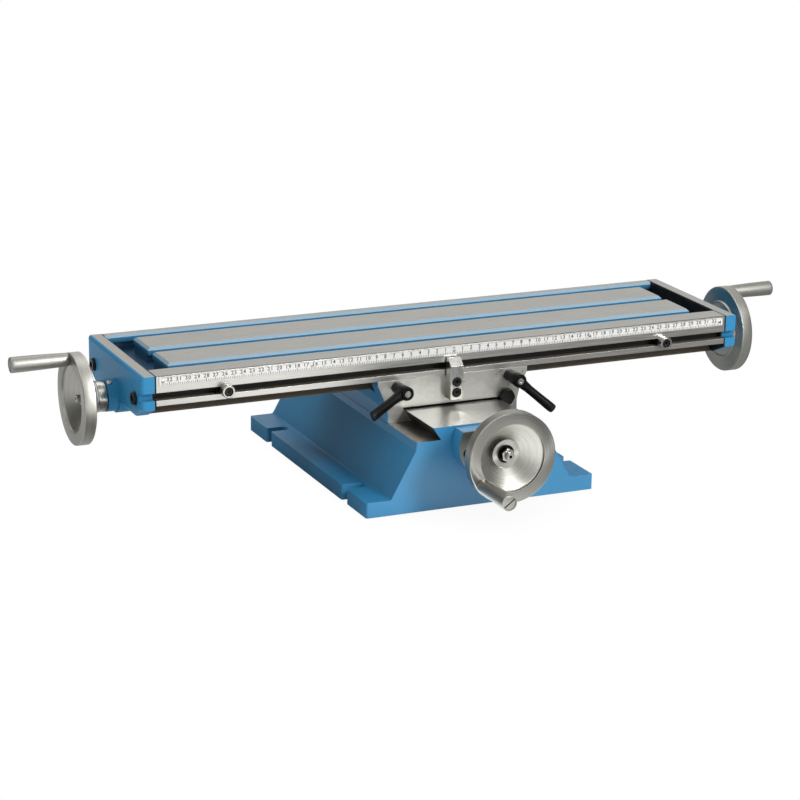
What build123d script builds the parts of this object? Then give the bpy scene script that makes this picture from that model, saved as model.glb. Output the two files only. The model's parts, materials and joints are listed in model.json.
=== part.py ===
from build123d import *

import os
from math import cos, radians, sin, tan

os.makedirs("parts", exist_ok=True)

# Cross slide table. Millimetres. X is the long travel, Y the cross travel, Z is up.
# The origin lies on the floor, under the middle of the saddle at mid travel.

# Fits
slide_clear = 0.05        # between ground slide faces
shaft_clear = 0.05        # radial, shaft in bush or hub
thread_clear = 0.1        # radial, screw in its tapped or drilled hole
end_clear = 0.1           # along an axis, between faces that turn on each other
dovetail_angle = 55.0
x_travel = 480.0
y_travel = 175.0

# Base casting
base_front = -165.0
base_back = 174.0
foot_half = 132.5
foot_thickness = 16.5
wall_foot_half = 104.7    # where the sloping side meets the foot
wall_top_half = 76.6      # where the sloping side turns upright
wall_break = 67.0
shelf_half = 76.0
shelf_height = 76.0
base_wall = 12.0
end_wall = 14.0
foot_slot_width = 13.0
foot_slot_depth = 23.0
foot_slot_pitch = 220.0
crease_radius = 4.0       # where the foot turns up into the side
corner_radius = 2.5       # upright corners of the foot and its slots
rib_thickness = 10.0
rib_pitch = 80.0
rib_drop = 19.5           # its top, below the cross screw and clear of the nut
rib_gap = 6.0             # beside the nut
cross_dove_height = 14.0
cross_dove_neck = 48.0    # half width at the shelf, on the left
gib_room = 3.2            # less on the right, where the gib lies

# Saddle casting
saddle_height = 47.0
saddle_past_table = 0.5   # at the front and at the back
saddle_overhang = 1.5     # of its legs past the shelf, each side
saddle_waist_step = 1.5
saddle_flare = 9.0        # past the waist, up to the table
saddle_lip = 5.0          # upright band under the table
saddle_waist_drop = 25.0
saddle_corner = 3.0       # upright corners of the legs, rounded
ceiling_gap = 1.5         # over the base's dovetail
floor_gap = 1.0           # under the table's dovetail
gib_width = 7.0           # across the gib, level

# Table casting
table_length = 668.0
table_width = 180.0
table_thickness = 32.0
long_dove_height = 15.5
long_dove_neck = 51.0
channel_half = 20.0       # hollow for the lead screw, under the table
channel_roof = 27.0       # below the table top
front_land = 25.4         # ground strip in front of the slots
back_land = 8.5
slot_neck = 14.0
slot_neck_depth = 8.5
slot_wide = 22.0
slot_depth = 17.0
slot_chamfer = 2.7
left_trough = 27.0        # open ends of the table, up to the lands
right_trough = 21.5
stop_slot_drop = 22.0     # its middle, below the table top
stop_slot_neck = 8.0
stop_slot_neck_depth = 8.0
stop_slot_wide = 13.0
stop_slot_depth = 14.0
edge_chamfer = 1.0

# End plates
plate_thickness = 16.0
plate_skirt = 36.0        # upright part of the plate's front edge
plate_foot_half = 65.0
plate_bulge_radius = 19.0
nose_radius = 17.0
nose_length = 11.0
plate_edge_radius = 4.0
plate_joint = 1.0         # chamfer against the casting
plate_screw = (8, 22)     # thread and length
plate_screw_sink = 4.5    # of the head's underside
plate_screw_inset = 21.0
plate_screw_drop = 27.0
oiler_radius = 3.0
oiler_depth = 4.0
oiler_height = 0.9
oiler_place = 7.5         # from the plate's face
oiler_angle = 112.0       # from +Y towards +Z

# Lead screws, bushes and thrust washers
long_axis_drop = 42.0     # below the table top
cross_axis_drop = 4.5     # below the shelf
screw_radius = 8.0
journal_radius = 6.0
bush_radius = 9.0
washer_thickness = 1.5
washer_radius = 11.0
tail_radius = 4.0         # threaded end for the hub nut

# Cross screw bracket
bracket_radius = 36.0
bracket_rise = 16.5       # its flat top, over the screw's axis
bracket_length = 19.5
bracket_nose_length = 16.0
bracket_screw = (6, 24)
bracket_screw_sink = 6.5
bracket_screw_radius = 27.0
bracket_screw_angles = (345.0, 195.0, 245.0, 295.0)

# Nuts of the lead screws
nut_length = 40.0
long_nut_x = 42.0
long_nut_half = 18.0
long_nut_top = 12.0       # above the screw axis
long_nut_sink = 7.0       # below the saddle's upper floor
screw_trough_half = 11.0
screw_trough_sink = 3.0
long_nut_screw = (5, 26)
long_nut_screw_x = 13.0
long_nut_screw_y = 13.2
nut_screw_sink = 5.2
cross_nut_y = 40.0        # from the saddle's middle
cross_nut_half = 14.0
cross_nut_rise = 12.5
cross_nut_drop = 13.5
cross_nut_neck = 6.5      # half width
cross_slot_half = 8.0
cross_nut_screw = (5, 16)
cross_nut_screw_y = 13.0

# Handwheels, dials and grips
wheel_radius = 49.0
wheel_width = 13.0
dish_radius = 36.0
dish_step = 3.0
cone_back_radius = 34.0
hub_face = -3.5           # hub face, from the rim's back plane
hub_face_radius = 15.5
hub_shoulder = 10.5       # length of the hub behind the rim
hub_root = 8.5
hub_sleeve_radius = 12.0
nut_recess_radius = 9.0
nut_recess_depth = 3.5
hub_nut_across = 13.0
hub_nut_height = 8.5
hub_washer_thickness = 1.5
tail_end = 8.0
dial_radius = 16.5
dial_length = 10.8
key_size = 4.0
key_length = 10.0
grip_circle = 42.0
grip_length = 62.0
grip_root_radius = 7.0
grip_middle_radius = 8.0
grip_end_radius = 8.4
pin_radius = 4.0
pin_depth = 10.0
pin_head_radius = 6.8
pin_head_height = 3.0
long_left_angle = 80.0    # grip's place on the wheel, from +Y towards +Z
long_right_angle = 63.0
cross_angle = 217.0       # from +X towards +Z

# Parts on the saddle's front
block_x = -2.0
block_width = 14.5
block_thickness = 13.0
block_rise = 19.2         # over the saddle's top
block_drop = 25.0         # below it
block_lap = 2.0           # of the relief, below it
block_bevel = 7.2
block_bevel_run = 6.2
block_relief = 1.8
block_screw = (6, 20)
block_screw_sink = 6.3
block_screw_drops = (17.1, 5.6)
gib_bolt_x = 62.8
gib_bolt_rise = 1.5       # over the base's dovetail
gib_bolt_across = 16.0
gib_bolt_head = 6.4
gib_bolt_radius = 5.0
gib_bolt_length = 20.0
gib_bolt_turn = 27.0      # of its flats
lock_inset = 21.8         # from the saddle's side
lock_drop = 8.0           # below its top
lock_ring_radius = 6.4
lock_ring_length = 5.0
lock_hub_length = 24.5
lock_hub_radius = 7.5
lock_hub_foot = 6.2
lock_arm = 48.0
lock_arm_drop = 6.0       # its root, below the hub's top
lock_arm_neck_x = 14.0
lock_arm_root = (12, 10, 3)       # width, thickness, corner
lock_arm_neck = (9, 8, 2.5)
lock_arm_tip = (9.5, 7, 2)
lock_arm_lift = 13.5      # how far the arm's tip stands out from its root
lock_left_angle = 202.3   # from +X towards +Z
lock_right_angle = 317.6
lock_thread = 3.0
lock_hole_depth = 44.0
lock_core = 4.0
lock_core_length = 16.0

# Scale and stops
scale_drop = 1.8
scale_height = 8.7
scale_thickness = 0.8
scale_end = 3.0
rivet_inset = 7.0
left_stop_inset = 75.3
right_stop_inset = 78.7
stop_collar_radius = 7.0
stop_collar_length = 9.5
stop_nut_length = 14.0
stop_screw = (5, 16)

# Places that follow from the sizes above
slant = tan(radians(dovetail_angle))
saddle_top = shelf_height + saddle_height
saddle_jaw_half = shelf_half + saddle_overhang
saddle_waist_half = saddle_jaw_half + saddle_waist_step
saddle_half_x = saddle_waist_half + saddle_flare
saddle_half_y = table_width / 2 + saddle_past_table
cross_axis = shelf_height - cross_axis_drop
table_top = saddle_top + table_thickness
dove_top = shelf_height + cross_dove_height
ceiling = dove_top + ceiling_gap
dove_bottom = saddle_top - long_dove_height
saddle_floor = dove_bottom - floor_gap
long_axis = table_top - long_axis_drop
table_half = table_length / 2
width_half = table_width / 2
plate_outer = table_half + plate_thickness
hub_stack = hub_shoulder + dial_length + 2 * end_clear
nose_to_wheel = hub_stack + washer_thickness + end_clear
long_wheel_x = plate_outer + nose_length + nose_to_wheel
bracket_front = base_front - bracket_length - bracket_nose_length
cross_wheel_y = bracket_front - nose_to_wheel
saddle_front = -saddle_half_y
slot_half = slot_neck / 2 + slot_chamfer
front_slot = front_land + slot_half - width_half
back_slot = width_half - back_land - slot_half
slot_centres = [front_slot, (front_slot + back_slot) / 2, back_slot]
right_dove_neck = cross_dove_neck - gib_room
rivet_end = table_half - rivet_inset
rivet_places = [rivet_end * i / 2 for i in (-2, -1, 0, 1, 2)]
stop_places = {-1: left_stop_inset - table_half, 1: table_half - right_stop_inset}
lock_x = saddle_half_x - lock_inset
lock_height = saddle_top - lock_drop
gib_bolt_height = dove_top + gib_bolt_rise
stop_slot_height = table_top - stop_slot_drop
BASE = (Align.CENTER, Align.CENTER, Align.MIN)
TOP = (Align.CENTER, Align.CENTER, Align.MAX)

# Frames of the three handwheels: Z points outwards along the shaft, X at the grip
left_wheel = Plane(
    origin=(-long_wheel_x, 0, long_axis),
    x_dir=(0, cos(radians(long_left_angle)), sin(radians(long_left_angle))),
    z_dir=(-1, 0, 0),
)
right_wheel = Plane(
    origin=(long_wheel_x, 0, long_axis),
    x_dir=(0, cos(radians(long_right_angle)), sin(radians(long_right_angle))),
    z_dir=(1, 0, 0),
)
front_wheel = Plane(
    origin=(0, cross_wheel_y, cross_axis),
    x_dir=(cos(radians(cross_angle)), 0, sin(radians(cross_angle))),
    z_dir=(0, -1, 0),
)


def save(node, *solids):
    """Writes one node, a single solid or a group of like ones."""
    shape = solids[0] if len(solids) == 1 else Compound(children=list(solids))
    export_step(shape, f"parts/{node}.step")


def along_x(points, x0, x1):
    """Prism of a (y, z) outline between two X places."""
    outline = make_face(Polyline(*points, close=True))
    return extrude(Plane.YZ.offset(x0) * outline, amount=x1 - x0)


def along_y(points, y0, y1):
    """Prism of an (x, z) outline between two Y places."""
    outline = make_face(Polyline(*points, close=True))
    return extrude(Plane.XZ.offset(-y1) * outline, amount=y1 - y0)


def block(x0, x1, y0, y1, z0, z1):
    """Box between two corners."""
    middle = Pos((x0 + x1) / 2, (y0 + y1) / 2, (z0 + z1) / 2)
    return middle * Box(x1 - x0, y1 - y0, z1 - z0)


def rod(start, direction, length, radius):
    """Round bar from a point along a direction."""
    return Plane(origin=start, z_dir=direction) * Cylinder(radius, length, align=BASE)


def turned(points):
    """Solid turned about Z from (radius, height) points."""
    return revolve(Plane.XZ * make_face(Polyline(*points, close=True)), Axis.Z)


def hex_bar(across, height):
    return extrude(RegularPolygon(across / 2, 6, major_radius=False), amount=height)


def socket_screw(size, length):
    """Socket head cap screw: head above Z 0, shank below."""
    head = Cylinder(0.85 * size, size, align=BASE)
    head = chamfer(head.edges().filter_by(GeomType.CIRCLE).sort_by(Axis.Z)[-1], 0.06 * size)
    socket = Pos(0, 0, 0.45 * size) * hex_bar(0.8 * size, size)
    return head + Cylinder(size / 2, length, align=TOP) - socket


def socket_seat(size, length):
    """Cutter for a cap screw: drilled hole, and a counterbore that takes the head."""
    hole = Cylinder(size / 2 + thread_clear, length + 1, align=TOP)
    return hole + Cylinder(0.85 * size + 0.4, 2 * size, align=BASE)


def screw_plane(point, outward):
    """Frame of a screw whose head points outwards."""
    return Plane(origin=point, z_dir=outward)


def dovetail(neck, height, top, grow=0.0):
    """Points of a dovetail's two flanks, wide side down, as (half width, height) pairs."""
    wide = neck + height / slant
    return [(neck + grow, top), (wide + grow, top - height)]


# Fasteners that several parts are drilled for: (frame, size, length)
plate_screws = {}
for side in (-1, 1):
    x = side * (plate_outer - plate_screw_sink)
    z = table_top - plate_screw_drop
    plate_screws[side] = [
        (screw_plane((x, y, z), (side, 0, 0)), *plate_screw)
        for y in (plate_screw_inset - width_half, width_half - plate_screw_inset)
    ]
bracket_screws = []
for angle in bracket_screw_angles:
    x = bracket_screw_radius * cos(radians(angle))
    y = base_front - bracket_length + bracket_screw_sink
    z = cross_axis + bracket_screw_radius * sin(radians(angle))
    bracket_screws.append((screw_plane((x, y, z), (0, -1, 0)), *bracket_screw))
block_screws = []
for drop in block_screw_drops:
    y = saddle_front - block_thickness + block_screw_sink
    block_screws.append((screw_plane((block_x, y, saddle_top - drop), (0, -1, 0)), *block_screw))
long_nut_screws = []
for x in (long_nut_x - long_nut_screw_x, long_nut_x + long_nut_screw_x):
    for y in (-long_nut_screw_y, long_nut_screw_y):
        z = long_axis + long_nut_top - nut_screw_sink
        long_nut_screws.append((screw_plane((x, y, z), (0, 0, 1)), *long_nut_screw))
cross_nut_screws = []
for y in (cross_nut_y - cross_nut_screw_y, cross_nut_y + cross_nut_screw_y):
    z = saddle_floor - screw_trough_sink - nut_screw_sink
    cross_nut_screws.append((screw_plane((0, y, z), (0, 0, 1)), *cross_nut_screw))


def seats(screws):
    """All the cutters of a group of screws."""
    cutter = Part()
    for frame, size, length in screws:
        cutter += frame * socket_seat(size, length)
    return cutter


def save_screws(node, screws):
    save(node, *[frame * socket_screw(size, length) for frame, size, length in screws])


def base_side(neck):
    """Half of the base's end outline, from the floor up to the dovetail's edge."""
    return [
        (foot_half, 0),
        (foot_half, foot_thickness),
        (wall_foot_half, foot_thickness),
        (wall_top_half, wall_break),
        (shelf_half, shelf_height),
        (neck, shelf_height),
        (neck + cross_dove_height / slant, dove_top),
    ]


def base_casting():
    right, left = base_side(right_dove_neck), base_side(cross_dove_neck)
    body = along_y(right + [(-x, z) for x, z in reversed(left)], base_front, base_back)
    crease = [e for e in body.edges().filter_by(Axis.Y) if abs(abs(e.center().X) - wall_foot_half) < 0.1]
    body = fillet(crease, crease_radius)

    inner_foot = wall_foot_half - base_wall
    inner_top = wall_top_half - base_wall
    core = [(inner_foot, -1), (inner_foot, foot_thickness), (inner_top, shelf_height - base_wall)]
    front, back = base_front + end_wall, base_back - end_wall
    hollow = along_y(core + [(-x, z) for x, z in reversed(core)], front, back)
    middle = (base_front + base_back) / 2
    rib_top = cross_axis - rib_drop
    gap = cross_nut_half + rib_gap
    for y in (middle - rib_pitch, 0, middle + rib_pitch):
        y0, y1 = y - rib_thickness / 2, y + rib_thickness / 2
        rib = block(-foot_half, foot_half, y0, y1, -1, dove_top)
        hollow -= rib - block(-gap, gap, y0, y1, rib_top, dove_top)
    body -= hollow
    roof = cross_axis + cross_nut_rise + 1
    body -= block(-cross_nut_half - 2, cross_nut_half + 2, front, back, rib_top, roof)
    reach = y_travel / 2 + nut_length / 2 + 1
    y0, y1 = cross_nut_y - reach, cross_nut_y + reach
    body -= block(-cross_slot_half, cross_slot_half, y0, y1, rib_top, dove_top + 1)

    for sx in (-1, 1):
        for y in (middle - foot_slot_pitch / 2, middle + foot_slot_pitch / 2):
            end = foot_half - foot_slot_depth + foot_slot_width / 2
            r = foot_slot_width / 2
            body -= Pos(sx * end, y, -1) * Cylinder(r, foot_thickness + 2, align=BASE)
            x0, x1 = sorted((sx * end, sx * (foot_half + 1)))
            body -= block(x0, x1, y - r, y + r, -1, foot_thickness + 1)
    upright = [e for e in body.edges().filter_by(Axis.Z) if abs(abs(e.center().X) - foot_half) < 0.1]
    body = fillet(upright, corner_radius)

    hole = (0, base_front - 1, cross_axis)
    body -= rod(hole, (0, 1, 0), end_wall + 2, washer_radius + 1)
    return body - seats(bracket_screws)


def cross_bracket():
    """Round bracket on the base's front wall, flat on top, with a nose for the dial."""
    start = (0, base_front, cross_axis)
    r, top = bracket_radius, cross_axis + bracket_rise
    length = bracket_length + bracket_nose_length
    body = rod(start, (0, -1, 0), bracket_length, r)
    body -= block(-r, r, base_front - bracket_length, base_front, top, cross_axis + r)
    body += rod(start, (0, -1, 0), length, nose_radius)
    body -= rod((0, base_front + 1, cross_axis), (0, -1, 0), length + 2, bush_radius + shaft_clear)
    return body - seats(bracket_screws)


def bush(start, direction, length):
    body = rod(start, direction, length, bush_radius)
    return body - rod(start, direction, length, journal_radius + shaft_clear)


def saddle_casting():
    side = [
        (saddle_jaw_half, shelf_height),
        (saddle_jaw_half, ceiling),
        (saddle_waist_half, saddle_top - saddle_waist_drop),
        (saddle_half_x, saddle_top - saddle_lip),
        (saddle_half_x, saddle_top),
    ]
    outline = side + [(-x, z) for x, z in reversed(side)]
    body = along_y(outline, -saddle_half_y, saddle_half_y)
    corners = [e for e in body.edges().filter_by(Axis.Z) if abs(abs(e.center().X) - saddle_jaw_half) < 0.1]
    body = fillet(corners, saddle_corner)

    # Long groove for the table, with room for the gib on its front flank
    h = saddle_top - saddle_floor
    back_flank = dovetail(long_dove_neck, h, saddle_top, slide_clear)
    front_flank = dovetail(long_dove_neck, h, saddle_top, gib_width + 2 * slide_clear)
    groove = back_flank + [(-y, z) for y, z in reversed(front_flank)]
    body -= along_x(groove, -saddle_half_x - 1, saddle_half_x + 1)

    # Cross groove over the base's dovetail, with room for the gib on its right flank
    spread = (ceiling - shelf_height) / slant
    left = -cross_dove_neck - slide_clear
    right = right_dove_neck + gib_width + 2 * slide_clear
    cross = [
        (left, shelf_height - 1),
        (left, shelf_height),
        (left - spread, ceiling),
        (right + spread, ceiling),
        (right, shelf_height),
        (right, shelf_height - 1),
    ]
    body -= along_y(cross, -saddle_half_y - 1, saddle_half_y + 1)

    trough = saddle_floor - screw_trough_sink
    end = saddle_half_x + 1
    body -= block(-end, end, -screw_trough_half, screw_trough_half, trough, saddle_top)
    nut = nut_length / 2 + thread_clear
    half = long_nut_half + thread_clear
    body -= block(long_nut_x - nut, long_nut_x + nut, -half, half, saddle_floor - long_nut_sink, saddle_top)

    body -= seats(block_screws) + seats(long_nut_screws) + seats(cross_nut_screws)
    body -= gib_bolt_hole()
    for x in (-lock_x, lock_x):
        start = (x, saddle_front - 1, lock_height)
        body -= rod(start, (0, 1, 0), lock_hole_depth + 1, lock_thread + thread_clear)
    return body


def long_gib():
    z0, z1 = dove_bottom, saddle_top - 0.5
    inner = [long_dove_neck + (saddle_top - z) / slant + slide_clear for z in (z0, z1)]
    points = [(-inner[0], z0), (-inner[0] - gib_width, z0), (-inner[1] - gib_width, z1), (-inner[1], z1)]
    return along_x(points, -saddle_waist_half, saddle_waist_half)


def cross_gib():
    z0, z1 = shelf_height + 0.5, dove_top
    inner = [right_dove_neck + (z - shelf_height) / slant + slide_clear for z in (z0, z1)]
    points = [(inner[0], z0), (inner[0] + gib_width, z0), (inner[1] + gib_width, z1), (inner[1], z1)]
    return along_y(points, saddle_front, saddle_half_y - 2.5) - gib_bolt_hole()


def gib_bolt_hole():
    """Cutter of the bolt's hole, in the saddle's leg and the notch of the gib."""
    start = (gib_bolt_x, saddle_front - 1, gib_bolt_height)
    return rod(start, (0, 1, 0), gib_bolt_length + 2, gib_bolt_radius + thread_clear)


def gib_bolt():
    """Hexagon bolt whose head overlaps the end of the cross gib."""
    r, h = gib_bolt_across / 2, gib_bolt_head
    head = Rot(0, 0, gib_bolt_turn) * hex_bar(gib_bolt_across, h)
    head &= turned([(0, 0), (1.2 * r, 0), (1.2 * r, h - 1), (0.96 * r, h), (0, h)])
    body = head + Cylinder(gib_bolt_radius, gib_bolt_length, align=TOP)
    return screw_plane((gib_bolt_x, saddle_front, gib_bolt_height), (0, -1, 0)) * body


def stop_block():
    back = saddle_front
    front = back - block_thickness
    relief = back - block_relief
    bottom, top = saddle_top - block_drop, saddle_top + block_rise
    points = [
        (back, bottom),
        (front, bottom),
        (front, top - block_bevel),
        (front + block_bevel_run, top),
        (relief, top),
        (relief, saddle_top - block_lap),
        (back, saddle_top - block_lap),
    ]
    body = along_x(points, block_x - block_width / 2, block_x + block_width / 2)
    return body - seats(block_screws)


def long_nut():
    x0, x1 = long_nut_x - nut_length / 2, long_nut_x + nut_length / 2
    bottom = saddle_floor - long_nut_sink
    body = block(x0, x1, -long_nut_half, long_nut_half, bottom, long_axis + long_nut_top)
    body -= rod((x0 - 1, 0, long_axis), (1, 0, 0), nut_length + 2, screw_radius + thread_clear)
    return body - seats(long_nut_screws)


def cross_nut():
    half = nut_length / 2
    low, high = cross_axis - cross_nut_drop, cross_axis + cross_nut_rise
    front, back = cross_nut_y - half, cross_nut_y + half
    body = block(-cross_nut_half, cross_nut_half, front, back, low, high)
    body = chamfer(body.edges().filter_by(Axis.Y), 4)
    body += block(-cross_nut_neck, cross_nut_neck, front, back, high, ceiling)
    body -= rod((0, front - 1, cross_axis), (0, 1, 0), nut_length + 2, screw_radius + thread_clear)
    return body - seats(cross_nut_screws)


def lock_frame(side, angle):
    direction = (cos(radians(angle)), 0, sin(radians(angle)))
    return Plane(origin=(side * lock_x, saddle_front, lock_height), x_dir=direction, z_dir=(0, -1, 0))


def lock_stud():
    """Clamping stud with its collar; Z 0 is the saddle's front face."""
    gib_back = long_dove_neck + gib_width + (lock_drop + lock_thread) / slant
    start = gib_back - saddle_half_y + 0.4
    head = lock_ring_length + lock_core_length
    return turned([
        (0, start),
        (lock_thread, start),
        (lock_thread, end_clear),
        (lock_ring_radius, end_clear),
        (lock_ring_radius, lock_ring_length),
        (lock_core, lock_ring_length),
        (lock_core, head),
        (0, head),
    ])


def arm_section(x, z, width, thickness, radius):
    """Rounded cross section of the lever's arm."""
    plane = Plane(origin=(x, 0, z), x_dir=(0, 1, 0), z_dir=(1, 0, 0))
    return plane * RectangleRounded(width, thickness, radius)


def lock_handle():
    """Moulded lever: a round hub and an arm that rises towards its tip."""
    foot = lock_ring_length + end_clear
    top = lock_ring_length + lock_hub_length
    hub = turned([(0, foot), (lock_hub_foot, foot), (lock_hub_radius, top - 5), (lock_hub_radius, top - 1),
                  (lock_hub_radius - 1, top), (0, top)])
    axis = top - lock_arm_drop
    root = arm_section(lock_core / 2, axis, *lock_arm_root)
    neck = arm_section(lock_arm_neck_x, axis + 0.5, *lock_arm_neck)
    tip = arm_section(lock_arm, axis + lock_arm_lift, *lock_arm_tip)
    arm = loft([root, neck]) + loft([neck, tip])
    core = Cylinder(lock_core + shaft_clear, lock_ring_length + lock_core_length + end_clear, align=BASE)
    screw = Cylinder(1.5 + thread_clear, top + 1, align=BASE)
    seat = Pos(0, 0, top - 2) * Cylinder(3.6, 3, align=BASE)
    return hub + arm - core - screw - seat


def lock_screw():
    """Retaining screw in the middle of the lever's hub."""
    top = lock_ring_length + lock_hub_length
    body = Pos(0, 0, top - 2) * Cylinder(3.4, 2.2, align=BASE)
    base = lock_ring_length + lock_core_length + end_clear
    body += Pos(0, 0, base) * Cylinder(1.5, top - 2 - base, align=BASE)
    return body - Pos(0, 0, top - 1) * hex_bar(2.5, 3)


def mouth(a, b, floor):
    """Outline of a groove in the table's top whose upper edges are bevelled."""
    c, top = slot_chamfer, table_top
    return [(a, floor), (b, floor), (b, top - c), (b + c, top), (a - c, top), (a, top - c)]


def table_casting():
    flanks = dovetail(long_dove_neck, long_dove_height, saddle_top)
    side = [(width_half, table_top), (width_half, saddle_top)] + flanks
    outline = side + [(-y, z) for y, z in reversed(side)]
    body = along_x(outline, -table_half, table_half)
    long_edges = body.edges().filter_by(Axis.X)
    body = chamfer(long_edges.group_by(Axis.Z)[-1], edge_chamfer)
    end = table_half + 1
    body -= block(-end, end, -channel_half, channel_half, dove_bottom - 1, table_top - channel_roof)

    floor = table_top - slot_depth
    neck, wide = slot_neck / 2, slot_wide / 2
    for y in slot_centres:
        body -= block(-end, end, y - wide, y + wide, floor, table_top - slot_neck_depth)
        body -= along_x(mouth(y - neck, y + neck, floor), -end, end)
    front, back = slot_centres[0] - neck, slot_centres[-1] + neck
    body -= along_y(mouth(-end - slot_chamfer, left_trough - table_half, floor), front, back)
    body -= along_y(mouth(table_half - right_trough, end + slot_chamfer, floor), front, back)

    neck, wide = stop_slot_neck / 2, stop_slot_wide / 2
    z = stop_slot_height
    inner = -width_half + stop_slot_neck_depth
    body -= block(-end, end, -width_half - 1, inner, z - neck, z + neck)
    body -= block(-end, end, inner - 0.01, -width_half + stop_slot_depth, z - wide, z + wide)

    body -= seats(plate_screws[-1]) + seats(plate_screws[1])
    for x in rivet_places:
        body -= rod((x, -width_half - 1, scale_middle()), (0, 1, 0), 5, 1.0)
    return body


def end_plate(side):
    """Cast plate that closes the table's end and carries the lead screw."""
    half = [
        (width_half, table_top),
        (width_half, table_top - plate_skirt),
        (plate_foot_half, dove_bottom),
    ]
    outline = half + [(-y, z) for y, z in reversed(half)]
    body = along_x(outline, table_half, plate_outer)
    body = fillet(body.faces().sort_by(Axis.X)[-1].edges(), plate_edge_radius)
    body = chamfer(body.faces().sort_by(Axis.X)[0].edges(), plate_joint)
    start = (table_half, 0, long_axis)
    length = plate_thickness + nose_length
    body += rod(start, (1, 0, 0), plate_thickness, plate_bulge_radius)
    body += rod(start, (1, 0, 0), length, nose_radius)
    body -= rod((table_half - 1, 0, long_axis), (1, 0, 0), length + 2, bush_radius + shaft_clear)
    neck, z = stop_slot_neck / 2, stop_slot_height
    y0, y1 = -width_half - 1, -width_half + stop_slot_neck_depth
    body -= block(table_half - 1, plate_outer + 1, y0, y1, z - neck, z + neck)
    body -= seats(plate_screws[1])
    body -= oiler_frame(1) * Cylinder(oiler_radius + shaft_clear, nose_radius, align=BASE)
    return body if side > 0 else mirror(body, about=Plane.YZ)


def oiler_frame(side):
    """Frame at the bottom of an oiler's hole in the nose, pointing outwards."""
    outwards = (0, cos(radians(oiler_angle)), sin(radians(oiler_angle)))
    r = nose_radius - oiler_depth
    start = (side * (plate_outer + oiler_place), r * outwards[1], long_axis + r * outwards[2])
    return Plane(origin=start, z_dir=outwards)


def oiler():
    """Pressed-in oil cup, closed by a ball."""
    top = oiler_depth + oiler_height
    cup = Cylinder(oiler_radius, top, align=BASE)
    cup = chamfer(cup.edges().sort_by(Axis.Z)[-1], 0.5)
    return cup + Pos(0, 0, top - 0.6) * Sphere(1.3)


def scale_middle():
    return table_top - scale_drop - scale_height / 2


def scale_strip():
    z0 = scale_middle() - scale_height / 2
    end = table_half - scale_end
    body = block(-end, end, -width_half - scale_thickness, -width_half, z0, z0 + scale_height)
    for x in rivet_places:
        body -= rod((x, -width_half - 2, scale_middle()), (0, 1, 0), 4, 1.0)
    return body


def rivet(x):
    face = -width_half - scale_thickness
    body = rod((x, face + 4, scale_middle()), (0, -1, 0), 4, 0.9)
    return body + rod((x, face, scale_middle()), (0, -1, 0), 0.5, 1.7)


def long_screw():
    shoulder = table_half - washer_thickness - end_clear
    body = rod((-shoulder, 0, long_axis), (1, 0, 0), 2 * shoulder, screw_radius)
    return add_shaft_ends(body, (left_wheel, right_wheel), long_wheel_x - shoulder)


def cross_screw():
    """Cross lead screw, from the front wheel to behind the nut's last place."""
    shoulder = base_front + washer_thickness + end_clear
    length = cross_nut_y + y_travel / 2 + nut_length / 2 + 7 - shoulder
    body = rod((0, shoulder, cross_axis), (0, 1, 0), length, screw_radius)
    body = chamfer(body.edges().sort_by(Axis.Y)[-1], 1.5)
    return add_shaft_ends(body, (front_wheel,), shoulder - cross_wheel_y)


def add_shaft_ends(body, frames, journal):
    """Journal, keyseat and threaded tail on each end that carries a wheel."""
    step = hub_face - nut_recess_depth
    for frame in frames:
        end = Pos(0, 0, -journal) * Cylinder(journal_radius, journal + step, align=BASE)
        tail = Pos(0, 0, step) * Cylinder(tail_radius, tail_end - step, align=BASE)
        tail = chamfer(tail.edges().sort_by(Axis.Z)[-1], 0.8)
        tail -= Pos(0, 0, tail_end) * Cylinder(1.6, 5, align=(Align.CENTER, Align.CENTER, Align.CENTER))
        body += frame * (end + tail)
        body -= frame * key_bar(thread_clear)
    return body


def key_bar(grow=0.0):
    """Square key half sunk in the shaft, inside the wheel's hub."""
    x0 = journal_radius - key_size / 2 - grow
    half = key_size / 2 + grow
    start = -hub_stack + 1
    return block(x0, x0 + key_size + 2 * grow, -half, half, start - grow, start + key_length + grow)


def washer(inner, outer, z0, thickness):
    body = Pos(0, 0, z0) * Cylinder(outer, thickness, align=BASE)
    return body - Pos(0, 0, z0 - 1) * Cylinder(inner, thickness + 2, align=BASE)


def thrust_washers(frame, inner_gap):
    """The pair of washers on one journal, either side of its bearing."""
    outer = end_clear / 2 - nose_to_wheel
    inner = outer - end_clear - inner_gap - washer_thickness
    bore = journal_radius + shaft_clear
    return [frame * washer(bore, washer_radius, z, washer_thickness) for z in (outer, inner)]


def handwheel():
    """Dished wheel in its own frame: Z 0 is the back plane of the rim, the dish opens to +Z."""
    bore = journal_radius + shaft_clear
    body = turned([
        (bore, -hub_stack),
        (hub_sleeve_radius, -hub_stack),
        (hub_sleeve_radius, -hub_shoulder),
        (hub_face_radius, -hub_shoulder),
        (hub_face_radius, -hub_root),
        (cone_back_radius, 0),
        (wheel_radius - 1, 0),
        (wheel_radius, 1),
        (wheel_radius, wheel_width - 1),
        (wheel_radius - 1, wheel_width),
        (dish_radius, wheel_width),
        (dish_radius, wheel_width - dish_step),
        (hub_face_radius, hub_face),
        (nut_recess_radius, hub_face),
        (nut_recess_radius, hub_face - nut_recess_depth),
        (bore, hub_face - nut_recess_depth),
    ])
    pin_hole = Pos(grip_circle, 0, wheel_width - pin_depth - 0.5)
    body -= pin_hole * Cylinder(pin_radius + thread_clear, pin_depth + 2, align=BASE)
    keyway = block(0, journal_radius + key_size / 2 + thread_clear, -key_size / 2 - thread_clear,
                   key_size / 2 + thread_clear, -hub_stack - 1, -hub_stack + 1 + key_length + thread_clear)
    return body - keyway


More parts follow.
